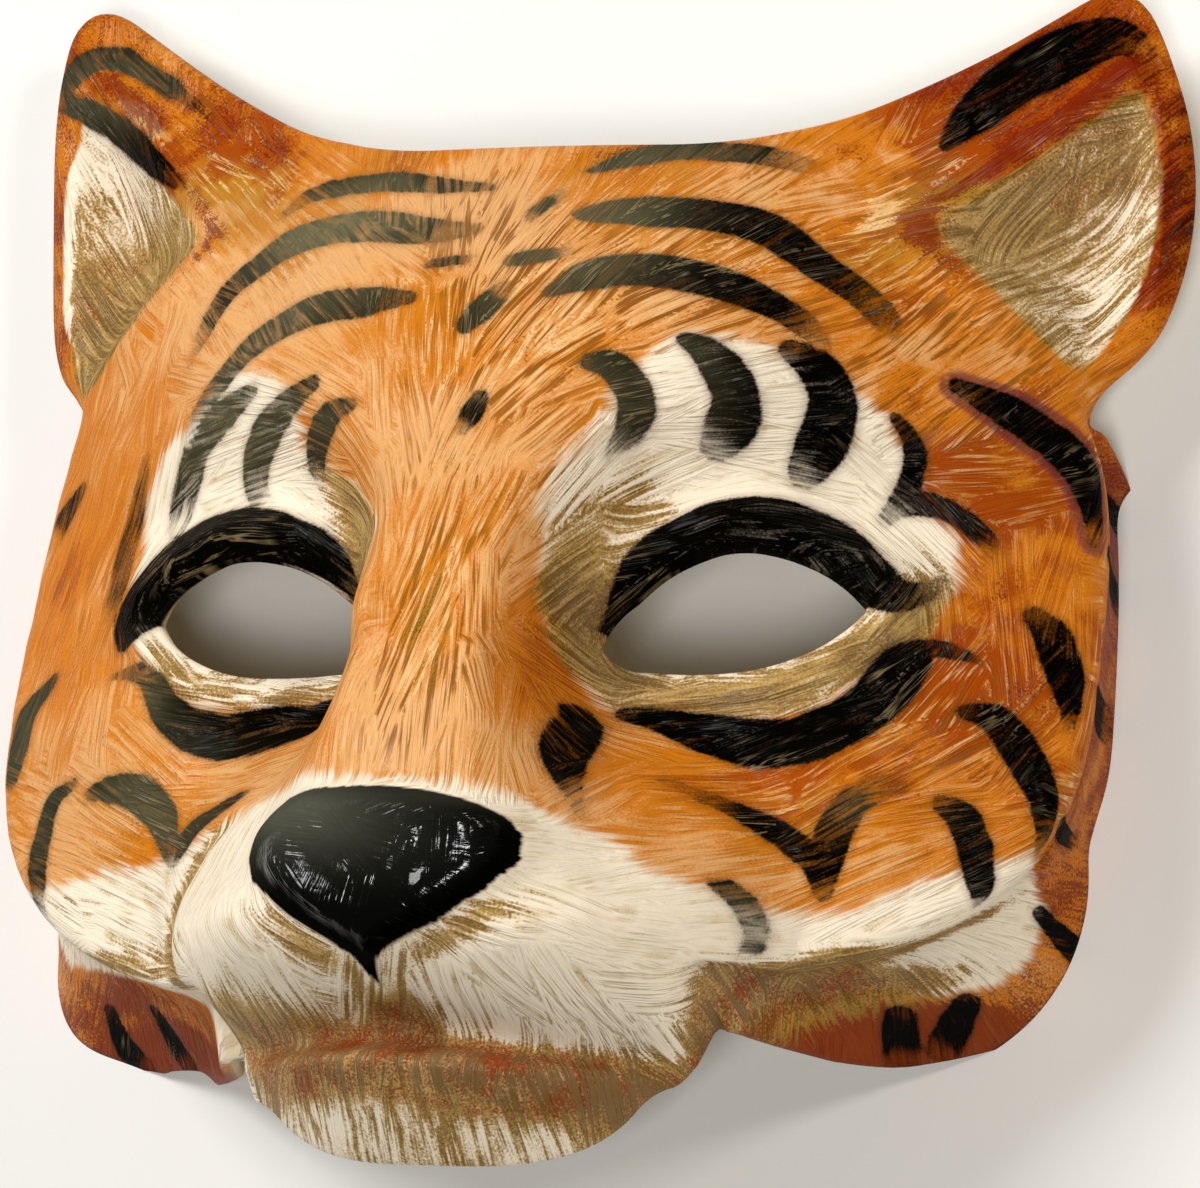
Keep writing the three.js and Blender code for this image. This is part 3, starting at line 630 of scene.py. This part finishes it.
def painted(x, y):
    """The paint of front points, with its painted sheen, highlight and shade, as named triples of fields."""
    beyond = ridge_at(x, y)[0]
    ear, cup, eye = ear_field(x, y), cup_field(x, y), -eye_field(x, y)
    side = np.abs(x)
    on_ear = ease(0, 8, ear) * ease(30, 44, y)
    stripe, density = np.full(len(x), -6.0), np.zeros(len(x))
    for cover, points in STROKES:
        field, along_stroke = stroke_field(x, y, points)
        dry = 0.5 * ease(0.66, 1, along_stroke) + 0.2 * ease(0.15, 0, along_stroke)
        density = np.where(field > stripe, cover - dry, density)
        stripe = np.maximum(stripe, field)
    nose = polygon_field(x, y, NOSE_LACQUER)
    edge_stripe, _ = stroke_field(x, y, EDGE_STRIPE)
    fringe = bell(edge_stripe + 0.5, 0.9) + 0.9 * hill(x, y, (92, 2), (8, 16)) * ease(2, 6, beyond)
    white = np.maximum.reduce([polygon_field(x, y, g) for g in WHITE_GROUNDS])
    rim = ease(-74, -82, x) * ease(30, 40, y) * ease(66, 60, y - 0.4 * (x + 86))
    white = np.maximum(white, 3 * cup + 0.5 + 6 * rim)
    deep = 0.1 + 0.45 * ease(15, 62, x) * ease(-60, -38, y)
    deep += 0.3 * ease(46, 53, y) + 0.3 * ease(1, 6, beyond)
    deep += 0.25 * ease(-45, -66, x) * ease(-36, -20, y) * ease(36, 20, y)
    deep += hills(x, y, [
        (0.3, 66, 4, 16, 26, 0), (0.3, 66, -22, 12, 10, 0), (0.1, 28, -44, 10, 5, 0),
        (0.7, 14.5, -26, 4, 12, 0), (0.15, 38, -44, 6, 3, 0), (0.5, -75, -6, 6, 13, 0),
        (0.3, 2, -25, 5, 12, 0), (-0.25, 50, 49, 8, 6, 0), (-0.3, -54, 52, 8, 5, 0),
        (0.25, -46, 58, 10, 6, 0), (0.3, 40, -40, 18, 4, 0), (0.5, -70, 62, 9, 7, -40),
        (0.2, -30, -39, 12, 4, 0), (-0.2, -50, -44, 14, 8, 0), (-0.3, -34, 32, 14, 8, 0),
    ])
    red = 1.6 * ease(-86, -92, y) * ease(29, 36, x) * ease(84, 62, x)
    red += 0.9 * ease(-90, -97, y) * ease(-34, -44, x) + 0.45 * ease(3, 9, beyond)
    round_cup = 0.75 * bell(cup + 3.0, 1.7) * ease(-70, -50, x)
    red += on_ear * (round_cup + 0.8 * bell(ear - 0.5, 3.0) * ease(40, 62, x))
    red += on_ear * 1.3 * bell(ear - 0.2, 1.5) * ease(-60, -82, x)
    red += 0.75 * bell(y - mouth_line(x) + 0.8, 2.1) * ease(-24, -12, x) * ease(27, 12, x)
    red += hills(x, y, [
        (0.35, 13.5, -25, 3, 7, 0), (0.6, -47, 59, 5, 3.5, 0), (0.5, 43, 55, 6, 3, 0),
        (0.4, 70, -8, 8, 4, -20), (0.4, 75, -24, 6, 4, 0), (0.4, 55, 16, 5, 3, 0), (0.45, 55, 43, 3, 6, -30),
        (0.25, -74, -18, 5, 6, 0), (0.3, 12, 53, 12, 2, 0), (0.45, -75, -86, 12, 5, 0),
        (0.8, -76, 71.5, 9, 1.2, -38),
    ])
    by_eyes = 0.8 * bell(eye - 3.2, 3.8) * ease(-8, -16, y + 0.15 * side) * np.where(x > 0, 1, 0.8)
    by_eyes += hills(x, y, [
        (0.8, 15.5, -14, 7, 12, 0), (0.6, 38, -30, 14, 2.2, 5), (0.8, 62, -14, 6, 9, 0),
        (0.8, 56, -19, 6, 4, 40), (1.2, -16, -10, 6, 15, 8), (0.9, -21, 4, 6, 5, 0), (0.5, 24, -4, 6, 5, 0),
    ])
    wash_and_shade = by_eyes * ease(-2, 0.5, white)
    right_cup = 0.6 + 0.25 * ease(30, 52, y)
    left_cup = 0.38 + 0.65 * ease(60, 36, y) * ease(-94, -86, x)
    wash_and_shade += ease(-1.1, -0.4, cup) * np.where(x > 0, right_cup, left_cup)
    # along and below the mouth line the wash is partly painted shade under the muzzle pads
    wash_and_shade += 1.3 * bell(y - mouth_line(x) + 3.4, 4.6) * ease(40, 28, side)
    wash_and_shade += 0.75 * ease(-91, -84, y) * ease(-78, -82, y) * ease(34, 22, side)
    wash_and_shade += 0.45 * bell(nose + 2.0, 1.7) * ease(-62, -67, y)
    # painted shade: the hills at (-62, -67) and (-66, -57) darken the groove under the left cheek
    wash_and_shade += hills(x, y, [
        (0.5, 0, -76, 5, 2.5, 0), (0.6, 28, -91, 7, 5, 0), (0.5, -29, -93, 6, 7, 0), (0.5, 0, -93, 28, 7, 0),
        (-0.9, 38, -98, 10, 5, 10), (1.2, 57, -81, 13, 7, 5), (0.5, 2, -25, 4, 12, 0),
        (0.4, -13, -69.5, 5, 2.6, -30), (0.45, 13, -66.5, 8, 2.2, 25), (1, 50, -71.6, 12, 4.8, 25),
        (0.9, 49, -66, 9, 2.6, 24), (0.9, 62, -65.8, 9, 3.5, 15), (0.7, 75, -61, 8, 3, 10),
        (0.9, 42, -80, 8, 6, 30), (0.7, 37, -86, 6, 7, 0), (0.8, -62, -67, 24, 3.5, 0),
        (0.35, 66, 27, 9, 12, 0), (0.3, 54, 49, 9, 7, 0), (0.4, -66, -57, 8, 3, 0), (-0.35, 80, 50, 7, 6, 0),
        (-0.3, 76, 38, 8, 7, 0), (0.3, -1, 0, 7, 3, 0),
    ])
    # painted shade in the crease beside the left pad
    crease = (np.hypot((x + 22) / 20.5, (y + 66) / 18.5) - 1) * 19
    wash_and_shade += 0.8 * bell(crease, 1.6) * ease(-28, -37, x) * ease(-80, -74, y)
    # pale line along the right cheek ridge: partly worn paint, partly a painted highlight on its edge
    pale = 0.4 * bell(beyond, 0.8) * ease(25, 15, y) * ease(-52, -44, y) * ease(0, 20, x)
    pale += hills(x, y, [
        (1, -73, 68, 8, 1.6, -40), (0.3, -30, 35, 16, 8, 0), (0.3, 50, -54, 10, 3, 6),
        (0.9, 49.5, 45, 3.2, 4.5, 0),
    ])
    # painted sheen: grey-olive where light glances off the black stripes, most on the left, and off the top
    # of the nose
    painted_sheen = hills(x, y, [
        (1.1, -26, 43, 26, 8, 0), (0.75, -34, 26, 22, 8, 20), (0.5, 14, 36, 9, 14, 0),
        (0.5, 24, 53, 14, 4, 0), (0.7, -38, 9, 22, 7, 0), (0.55, -55, -45, 18, 9, 0),
        (0.8, -78, 74, 14, 7, 0), (0.5, 2, 34, 8, 14, 0), (0.5, 16, 8, 7, 9, 0), (0.35, 30, 14, 5, 8, 0),
        (0.5, -78, -30, 8, 24, 0), (0.6, -54, -27, 7, 6, 0), (1.3, -14, -52.5, 14, 5.5, -8),
        (0.3, 8, -50.5, 10, 2, 0), (0.7, 43, -61, 4, 6, 0), (0.4, 56, -42, 7, 4, 0),
    ])
    streaky = hills(x, y, [
        (1.3, 6, 24, 17, 17, 0), (0.7, 30, 32, 16, 16, 0), (0.5, 0, -20, 10, 24, 0), (1.3, 2, -25, 5, 14, 0),
        (0.8, 17, -8, 6, 12, 0), (0.6, -42, -7, 18, 5, 0), (-0.5, -74, 46, 12, 14, 0),
        (-0.3, 70, 48, 12, 12, 0), (-0.2, -40, 36, 14, 10, 0), (0.5, 58, 44, 14, 10, 0),
        (0.7, 64, 24, 12, 14, 0), (0.5, -52, 54, 10, 6, 0), (0.5, 40, -44, 14, 5, 0),
        (0.6, 66, -30, 12, 14, 0), (0.4, -60, -15, 12, 12, 0), (0.8, 2, -90, 26, 8, 0),
        (0.5, 48, 12, 12, 10, 0), (0.9, 20, -76, 17, 5, 0), (-0.35, 26, -61, 14, 7, 0),
        (-0.4, -24, -66, 9, 10, 0), (0.5, -70, 66, 14, 10, 0),
    ])
    mottled = 0.1 + 0.9 * ease(30, 60, x) * ease(-56, -44, y) + 0.6 * on_ear + 0.5 * ease(44, 52, y)
    return {
        "marks": (stripe, density, fringe),
        "ground": (white, deep, red),
        "wash_and_sheen": (wash_and_shade, painted_sheen, pale),
        "place": (nose, streaky, mottled),
    }


def brush_angle(x, y):
    """Direction the bristles ran, the weighted mean of the directions of each passage."""
    side, out = np.abs(x), np.sign(x)
    beyond, ox, oy, _, _ = ridge_at(x, y)
    eye = -eye_field(x, y)
    gx, gy = gradient(eye_field, x, y, 0.5)
    on_ear = ease(0, 8, ear_field(x, y)) * ease(26, 40, y)
    lower = ease(44, 36, side)
    on_muzzle = ease(-48, -56, y) * lower * ease(-84, -79, y)
    # how strongly each passage rules, and its direction as an angle from the x axis
    passages = [
        (bell(np.maximum(eye, 0), 15) * 1.6, np.arctan2(-gx, gy)),
        (ease(2, 20, y) * (1 - on_ear), np.arctan2(y - 2, x + 4)),
        (ease(44, 56, x) * ease(8, 14, y) * (1 - on_ear) * 2, np.full(len(x), 1.1)),
        (ease(-50, -62, x) * ease(-34, -26, y) * (1 - on_ear) * 2, np.full(len(x), 1.35)),
        (bell(x, 13) * ease(10, -2, y) * ease(-52, -46, y) * 2, np.full(len(x), np.pi / 2)),
        (ease(34, 50, side) * ease(-34, -42, y), np.where(x > 0, 0.4, np.pi - 0.4)),
        (on_muzzle * (x > 0) * 2, -0.45 + 0.01 * x + 0.035 * (y + 68)),
        (on_muzzle * (x <= 0) * 2, np.arctan2(x + 12, -(y + 62))),
        (ease(-79, -83, y) * lower * 4, np.arctan2(y + 52, x * 0.8)),
        (ease(-60, -66, y) * ease(38, 44, side) * 3, 0.2 * out),
        (ease(2, 6, beyond) * ease(30, 20, y) * 6, np.arctan2(oy, ox)),
        (on_ear * 5 * ease(-1, 1, cup_field(x, y)), np.arctan2(y - 12, x - 48 * out)),
        (on_ear * 5 * ease(1, -1, cup_field(x, y)), 0.7 * out),
        (np.full(len(x), 0.15), np.full(len(x), 1.2)),
    ]
    c = sum(w * np.cos(2 * a) for w, a in passages)
    s = sum(w * np.sin(2 * a) for w, a in passages)
    return np.arctan2(s, c) / 2


# Real bristles lie closer than this; their marks are drawn as coarse as they need to show.
BRISTLE_GAP = 0.95
BRISTLE_LENGTH = 20


def dabs(points, corners, seed, spacing=10):
    """Brush dabs laid over the surface: each triangle corner gets its place across and along a dab.

    All corners of a triangle lie in the dab nearest to its first one, where a dab counts as three
    times as long as wide. The place is counted in gaps and lengths of the bristle marks. The third
    number is 1 inside the dab and 0 on its border with the next one.
    """
    rng = np.random.default_rng(seed)
    cx, cy = np.meshgrid(np.arange(-116, 117, spacing), np.arange(-104, 96, spacing))
    cx, cy = (c.ravel() + rng.uniform(-0.42, 0.42, c.size) * spacing for c in (cx, cy))
    used = outline_field(cx, cy) > -spacing
    cx, cy = cx[used], cy[used]
    centre = np.stack(front_surface(cx, cy), 1)
    tx, ty, normal = chords(cx, cy, 1)
    angle = brush_angle(cx, cy) + rng.normal(0, 0.14, len(cx))
    along_dab = unit(np.cos(angle)[:, None] * tx + np.sin(angle)[:, None] * ty)
    across_dab = np.cross(normal, along_dab)
    offset = rng.uniform(0, 400, (len(cx), 2))
    first, second = np.full(len(points), 1e9), np.full(len(points), 1e9)
    owner = np.zeros(len(points), int)
    for number, (c, a, b, n) in enumerate(zip(centre, across_dab, along_dab, normal)):
        away = points - c
        distance = np.sqrt((away @ a) ** 2 + (away @ b / 3) ** 2 + (away @ n) ** 2)
        closer = distance < first
        second = np.where(closer, first, np.minimum(second, distance))
        first = np.where(closer, distance, first)
        owner = np.where(closer, number, owner)
    dab = np.repeat(owner[corners[:, :1]], 3, 1)
    away = points[corners] - centre[dab]
    u = (away * across_dab[dab]).sum(2) + offset[dab, 0]
    v = (away * along_dab[dab]).sum(2) + offset[dab, 1]
    return u / BRISTLE_GAP, v / BRISTLE_LENGTH, ease(0.2, 1.8, second - first)[corners]


def mottling(points, size, seed, waves=36):
    """Random field of mean 0: a sum of plane waves whose lengths lie about a size in millimetres."""
    rng = np.random.default_rng(seed)
    way = rng.normal(size=(waves, 3))
    length = size * rng.uniform(0.45, 2.2, (waves, 1))
    way *= 2 * np.pi / length / np.linalg.norm(way, axis=1, keepdims=True)
    turn = rng.uniform(0, 2 * np.pi, waves)
    return 0.12 * sum(np.cos(points @ w + t) for w, t in zip(way, turn)) / np.sqrt(waves / 2)


def store(name, values, domain="POINT"):
    """Keep a triple of fields on the shell's vertices, or on its triangle corners, under a name."""
    layer = mesh.attributes.new(name, "FLOAT_VECTOR", domain)
    layer.data.foreach_set("vector", np.stack(values, -1).astype(np.float32).ravel())


paint = painted(front_x, front_y)
drift, dapple = mottling(front_points, 22, 21), mottling(front_points, 5, 34)
paint["mixing"] = (drift, dapple, paint["place"][2] * dapple)
for name, values in paint.items():
    store(name, [field[source] for field in values])
store("inside", (depth, depth, depth))
for name, seed in (("dabs_a", 3), ("dabs_b", 5), ("dabs_c", 8)):
    store(name, dabs(front_points, source[faces], seed), "CORNER")

# Painted papier-mache: tempera and gesso brushed on in dabs, rubbed with a khaki wash that stays
# in the bristle grooves, and thinly varnished, so it looks matt and dry with a soft gleam along
# the brush marks, and wet only on the lacquered nose. The inside is bare pasted paper.

material = bpy.data.materials.new("painted_papier_mache")
material.use_nodes = True
tree = material.node_tree
tree.nodes.clear()


def linear(code):
    """Linear RGBA of an sRGB hex colour: a straight start, then a power of 2.4."""
    c = np.array([int(code[k : k + 2], 16) for k in (1, 3, 5)]) / 255
    return (*np.where(c <= 0.04045, c / 12.92, ((c + 0.055) / 1.055) ** 2.4), 1)


def add(kind, inputs=(), **settings):
    """Add a node: settings first, then each input given by name or number, linked or set."""
    made = tree.nodes.new(kind)
    for name, value in settings.items():
        setattr(made, name, value)
    for name, value in dict(inputs).items():
        if isinstance(value, bpy.types.NodeSocket):
            tree.links.new(value, made.inputs[name])
        elif isinstance(value, str):
            made.inputs[name].default_value = linear(value)
        else:
            made.inputs[name].default_value = value
    return made


def painted_fields(name):
    """The three numbers that were stored on the shell under a name."""
    stored = add("ShaderNodeAttribute", attribute_name=name)
    return add("ShaderNodeSeparateXYZ", {0: stored.outputs["Vector"]}).outputs


def weighed(*terms):
    """Sum of fields times their weights, and of the last term, a number or a field, as it is."""
    result = terms[-1]
    for field, weight in terms[:-1]:
        inputs = {0: field, 1: weight, 2: result}
        result = add("ShaderNodeMath", inputs, operation="MULTIPLY_ADD").outputs[0]
    return result


def worn_down(*shares):
    """What is left of a coat after several causes: the product of their shares."""
    result = shares[0]
    for share in shares[1:]:
        result = add("ShaderNodeMath", {0: result, 1: share}, operation="MULTIPLY").outputs[0]
    return result


def taken(start, end, *terms, low=0.0, high=1.0):
    """How far the paint took: smooth step of a weighed sum, from low at its start to high at its end."""
    inputs = {"Value": weighed(*terms), "From Min": start, "From Max": end, "To Min": low, "To Max": high}
    return add("ShaderNodeMapRange", inputs, interpolation_type="SMOOTHSTEP").outputs[0]


def coated(under, over, *shares):
    """Colour of a coat laid over another by the product of its shares."""
    inputs = {0: worn_down(*shares), 6: under, 7: over}
    return add("ShaderNodeMix", inputs, data_type="RGBA").outputs[2]


def bristle_line(level):
    """Thin line where the grooves keep to a level: 1 on it, down to 0 at a sixteenth away."""
    apart = weighed((laid, 1.0), -level)
    away = add("ShaderNodeMath", {0: apart}, operation="ABSOLUTE").outputs[0]
    inputs = {0: away, 1: -16.0, 2: 1.0}
    return add("ShaderNodeMath", inputs, operation="MULTIPLY_ADD", use_clamp=True).outputs[0]


stripe, density, fringe = painted_fields("marks")
white, deep, red = painted_fields("ground")
wash_and_shade, painted_sheen, pale = painted_fields("wash_and_sheen")
nose, streaky, mottled = painted_fields("place")
inside = painted_fields("inside")[0]

# bristle grooves that run along the dabs, one set of dabs laid over another
laid = 0.5
for name in ("dabs_a", "dabs_b", "dabs_c"):
    dab = add("ShaderNodeAttribute", attribute_name=name).outputs["Vector"]
    share = add("ShaderNodeSeparateXYZ", {0: dab}).outputs[2]
    inputs = {"Vector": dab, "Scale": 1.0, "Detail": 2.0, "Roughness": 0.75}
    bristles = add("ShaderNodeTexNoise", inputs, noise_dimensions="2D").outputs[0]
    laid = add("ShaderNodeMix", {0: share, 2: laid, 3: bristles}).outputs[0]
groove = taken(0.3, 0.7, laid)
rag = weighed((groove, 1.0), -0.5)
furrow, ridge = bristle_line(0.41), bristle_line(0.6)
# slow drifts of the mixing, patches of some millimetres, and grains of pigment, which are drawn
# coarser than the real ones so that they show
GRAINS_PER_MM = 2.9
drift, dapple, mottle = painted_fields("mixing")
spot = add("ShaderNodeTexCoord").outputs["Object"]
inputs = {"Vector": spot, "Scale": 1000 * GRAINS_PER_MM, "Detail": 0.0, "Roughness": 0.5}
grain = weighed((add("ShaderNodeTexNoise", inputs).outputs[0], 1.0), -0.5)

# orange tempera, thin over the gesso: mottled, with pale scratches where the bristles bared it
deepened = weighed((mottle, 1.1), (drift, 1.1), (rag, -0.4), (grain, 0.3), deep)
orange = coated("#DEA466", "#CC7616", taken(-0.1, 0.45, deepened))
orange = coated(orange, "#B07C24", taken(0.0, 0.16, drift), mottled, 0.6)
orange = coated(orange, "#A04406", taken(0.45, 1.05, deepened))
dug = taken(0.05, 0.9, (drift, -1.2), (dapple, 0.7), streaky)
bared = taken(0.1, 1.0, (drift, 1.2), (dapple, 0.9), (mottled, 0.2), (streaky, 0.7), pale)
inputs = {0: furrow, 1: taken(-0.1, -0.45, rag)}
grooved = add("ShaderNodeMath", inputs, operation="MAXIMUM").outputs[0]
orange = coated(orange, "#7E4A14", grooved, dug, 0.85)
# pale scratches, and the pale line on the right ridge, which is partly a painted highlight
orange = coated(orange, "#EBC183", taken(0.3, 0.8, (rag, 0.6), (grain, 0.4), pale), 0.75)
orange = coated(orange, "#F4D096", ridge, bared, 0.7)
reddened = taken(0.3, 0.75, (drift, 0.6), (dapple, 0.5), (rag, 0.5), (grain, 0.7), red)
orange = coated(orange, "#741606", reddened, 0.82)

# cream gesso grounds with brushed-out edges
yellowed = taken(0.05, 0.55, (dapple, 0.9), (drift, 0.5), (rag, -0.6), 0.0)
cream = coated("#F2E3CA", "#D9C49A", yellowed)
cream = coated(cream, "#8E7038", furrow, dug, 0.7)
whitened = taken(-1.3, 1.2, (drift, 3.0), (dapple, 1.6), (grain, 0.8), (rag, 1.3), white)
colour = coated(orange, cream, whitened)

# khaki wash: a film that pools in the grooves and dries in grains; under the left cheek, beside
# the left pad and under the muzzle pads the same film is painted shade
khaki_and_shade = taken(0.26, 0.7, (rag, -0.5), (drift, 0.4), (dapple, 0.4), (grain, 0.5), wash_and_shade)
pooled = taken(-0.3, 0.6, (rag, -0.7), (grain, 0.9), (dapple, 0.5), (wash_and_shade, 0.45), -0.3)
colour = coated(colour, coated("#B58C3C", "#6C4A0C", pooled), khaki_and_shade, 0.92)
colour = coated(colour, "#D6BE88", ridge, khaki_and_shade, 0.22)
# red that shows through the wash on the lips
rubbed = taken(-0.3, 0.35, (rag, 0.35), (dapple, 0.9), (grain, 0.8), 0.05)
colour = coated(colour, "#8A3610", reddened, taken(0.5, 1.0, wash_and_shade), rubbed, 0.9)
# purplish bleeding round the edge stripe
colour = coated(colour, "#6E2A36", taken(0.2, 0.9, fringe), 0.7)

# black stripes: dense, or thin enough to let the ground through, drier where the brush leaves
edge = weighed((rag, 0.22), (dapple, 0.8), (grain, 0.3), stripe)
body = taken(-0.28, 0.25, edge)
dense = taken(0.15, 0.9, (rag, 0.4), (dapple, 0.35), (drift, 0.4), (grain, 0.2), density)
# a painted sheen greys the black toward olive
black = coated("#040301", "#6A6446", painted_sheen, weighed((rag, -0.5), (drift, 0.8), 0.8))
colour = coated(colour, "#4A2208", taken(-1.3, 0.2, edge), density, 0.4)
colour = coated(colour, black, body, dense)
dragged = taken(0.2, 0.8, (drift, 1.6), (dapple, 1.0), (streaky, 0.5), 0.1)
colour = coated(colour, "#C2A878", ridge, body, dragged, 0.38)

# nose leather: thick black lacquer, dull round its edge, with a painted grey sheen on its top edge
lacquer = taken(-0.3, 0.2, (rag, 0.25), nose)
colour = coated(colour, coated("#010100", "#4C4C40", painted_sheen, 0.8), lacquer)
glossy = taken(1.0, 2.8, (dapple, 2.6), (painted_sheen, -3.5), nose)
# bare paper inside
paper = coated("#CDBB97", "#B39C72", taken(-0.15, 0.15, drift))
bare = taken(0.3, 0.75, inside)
colour = coated(colour, paper, bare)

# grooves felt in the light, lumps in the thick lacquer, and a varnish left off the bare paper
GROOVE_DEPTH = 0.28
brushed = worn_down(groove, taken(0.0, 1.0, lacquer, low=0.8, high=0.25))
height = weighed((dapple, worn_down(lacquer, 2.4)), brushed)
inputs = {"Strength": 1.0, "Distance": GROOVE_DEPTH / 1000, "Height": height}
bump = add("ShaderNodeBump", inputs).outputs[0]
off_paper = taken(0.0, 1.0, bare, low=0.28, high=0.0)
off_stripes = taken(0.0, 1.0, body, low=1.0, high=0.4)
off_nose = taken(0.0, 1.0, lacquer, low=1.0, high=0.1)
inputs = {0: worn_down(off_paper, off_stripes, off_nose), 1: glossy}
varnish = add("ShaderNodeMath", inputs, operation="MAXIMUM").outputs[0]
surface = add("ShaderNodeBsdfPrincipled", {
    "Base Color": colour,
    "Roughness": 0.65,
    "Specular IOR Level": 0.0,
    "Normal": bump,
    "Coat Weight": varnish,
    "Coat Roughness": 0.14,
    "Coat IOR": 1.4,
    "Coat Normal": bump,
})
add("ShaderNodeOutputMaterial", {"Surface": surface.outputs[0]})
mesh.materials.append(material)

# The table, a top of pale matt paint that takes a soft shadow, and the light on it: a broad
# window high on the left, a smaller lamp on the right and a soft fill from the front. The camera
# looks down on the lying mask.

floor_mesh = bpy.data.meshes.new("floor")
floor_mesh.from_pydata([(-3, -3, 0), (3, -3, 0), (3, 3, 0), (-3, 3, 0)], [], [(0, 1, 2, 3)])
floor = placed("floor", floor_mesh)
floor_paint = bpy.data.materials.new("floor_paint")
floor_paint.use_nodes = True
matt = floor_paint.node_tree.nodes["Principled BSDF"].inputs
matt["Base Color"].default_value = linear("#EDEBE6")
matt["Roughness"].default_value = 0.8
matt["Specular IOR Level"].default_value = 0.0
floor_mesh.materials.append(floor_paint)


def softbox(name, at, target, size, power, tint):
    """Square area light, placed and aimed in metres."""
    data = bpy.data.lights.new(name, "AREA")
    data.size = size
    data.energy = power
    data.color = linear(tint)[:3]
    made = placed(name, data)
    made.location = at
    made.rotation_euler = (Vector(at) - Vector(target)).to_track_quat("Z", "Y").to_euler()


face_middle = (0, 0, 0.04)
softbox("window", (-0.7, 0.5, 1.0), face_middle, 0.6, 14.5, "#FFFFFF")
softbox("front", (0.28, -0.42, 1.1), face_middle, 0.25, 6.0, "#FFFFFF")
softbox("lamp", (0.75, 0.3, 0.75), face_middle, 0.2, 3.2, "#FFF6EA")

world = bpy.data.worlds.new("room")
world.use_nodes = True
air = world.node_tree.nodes["Background"].inputs
air["Color"].default_value = linear("#F4F4F2")
air["Strength"].default_value = 0.08
bpy.context.scene.world = world
bpy.context.scene.view_settings.view_transform = "Standard"

# the camera's lens, axes and place in metres, fitted to the outline and landmarks of the photo
camera_data = bpy.data.cameras.new("camera")
camera_data.lens = 187.3
camera_data.sensor_width = 36
camera_data.clip_end = 20
camera = placed("camera", camera_data)
right = Vector((0.945517, 0.082713, -0.31489))
upward = Vector((0.001517, 0.96606, 0.258314))
backward = Vector((0.325568, -0.244718, 0.913301))
place = Matrix((right, upward, backward)).transposed().to_4x4()
place.translation = Vector((0.29986, -0.22217, 0.83950))
camera.matrix_world = place
bpy.context.scene.camera = camera
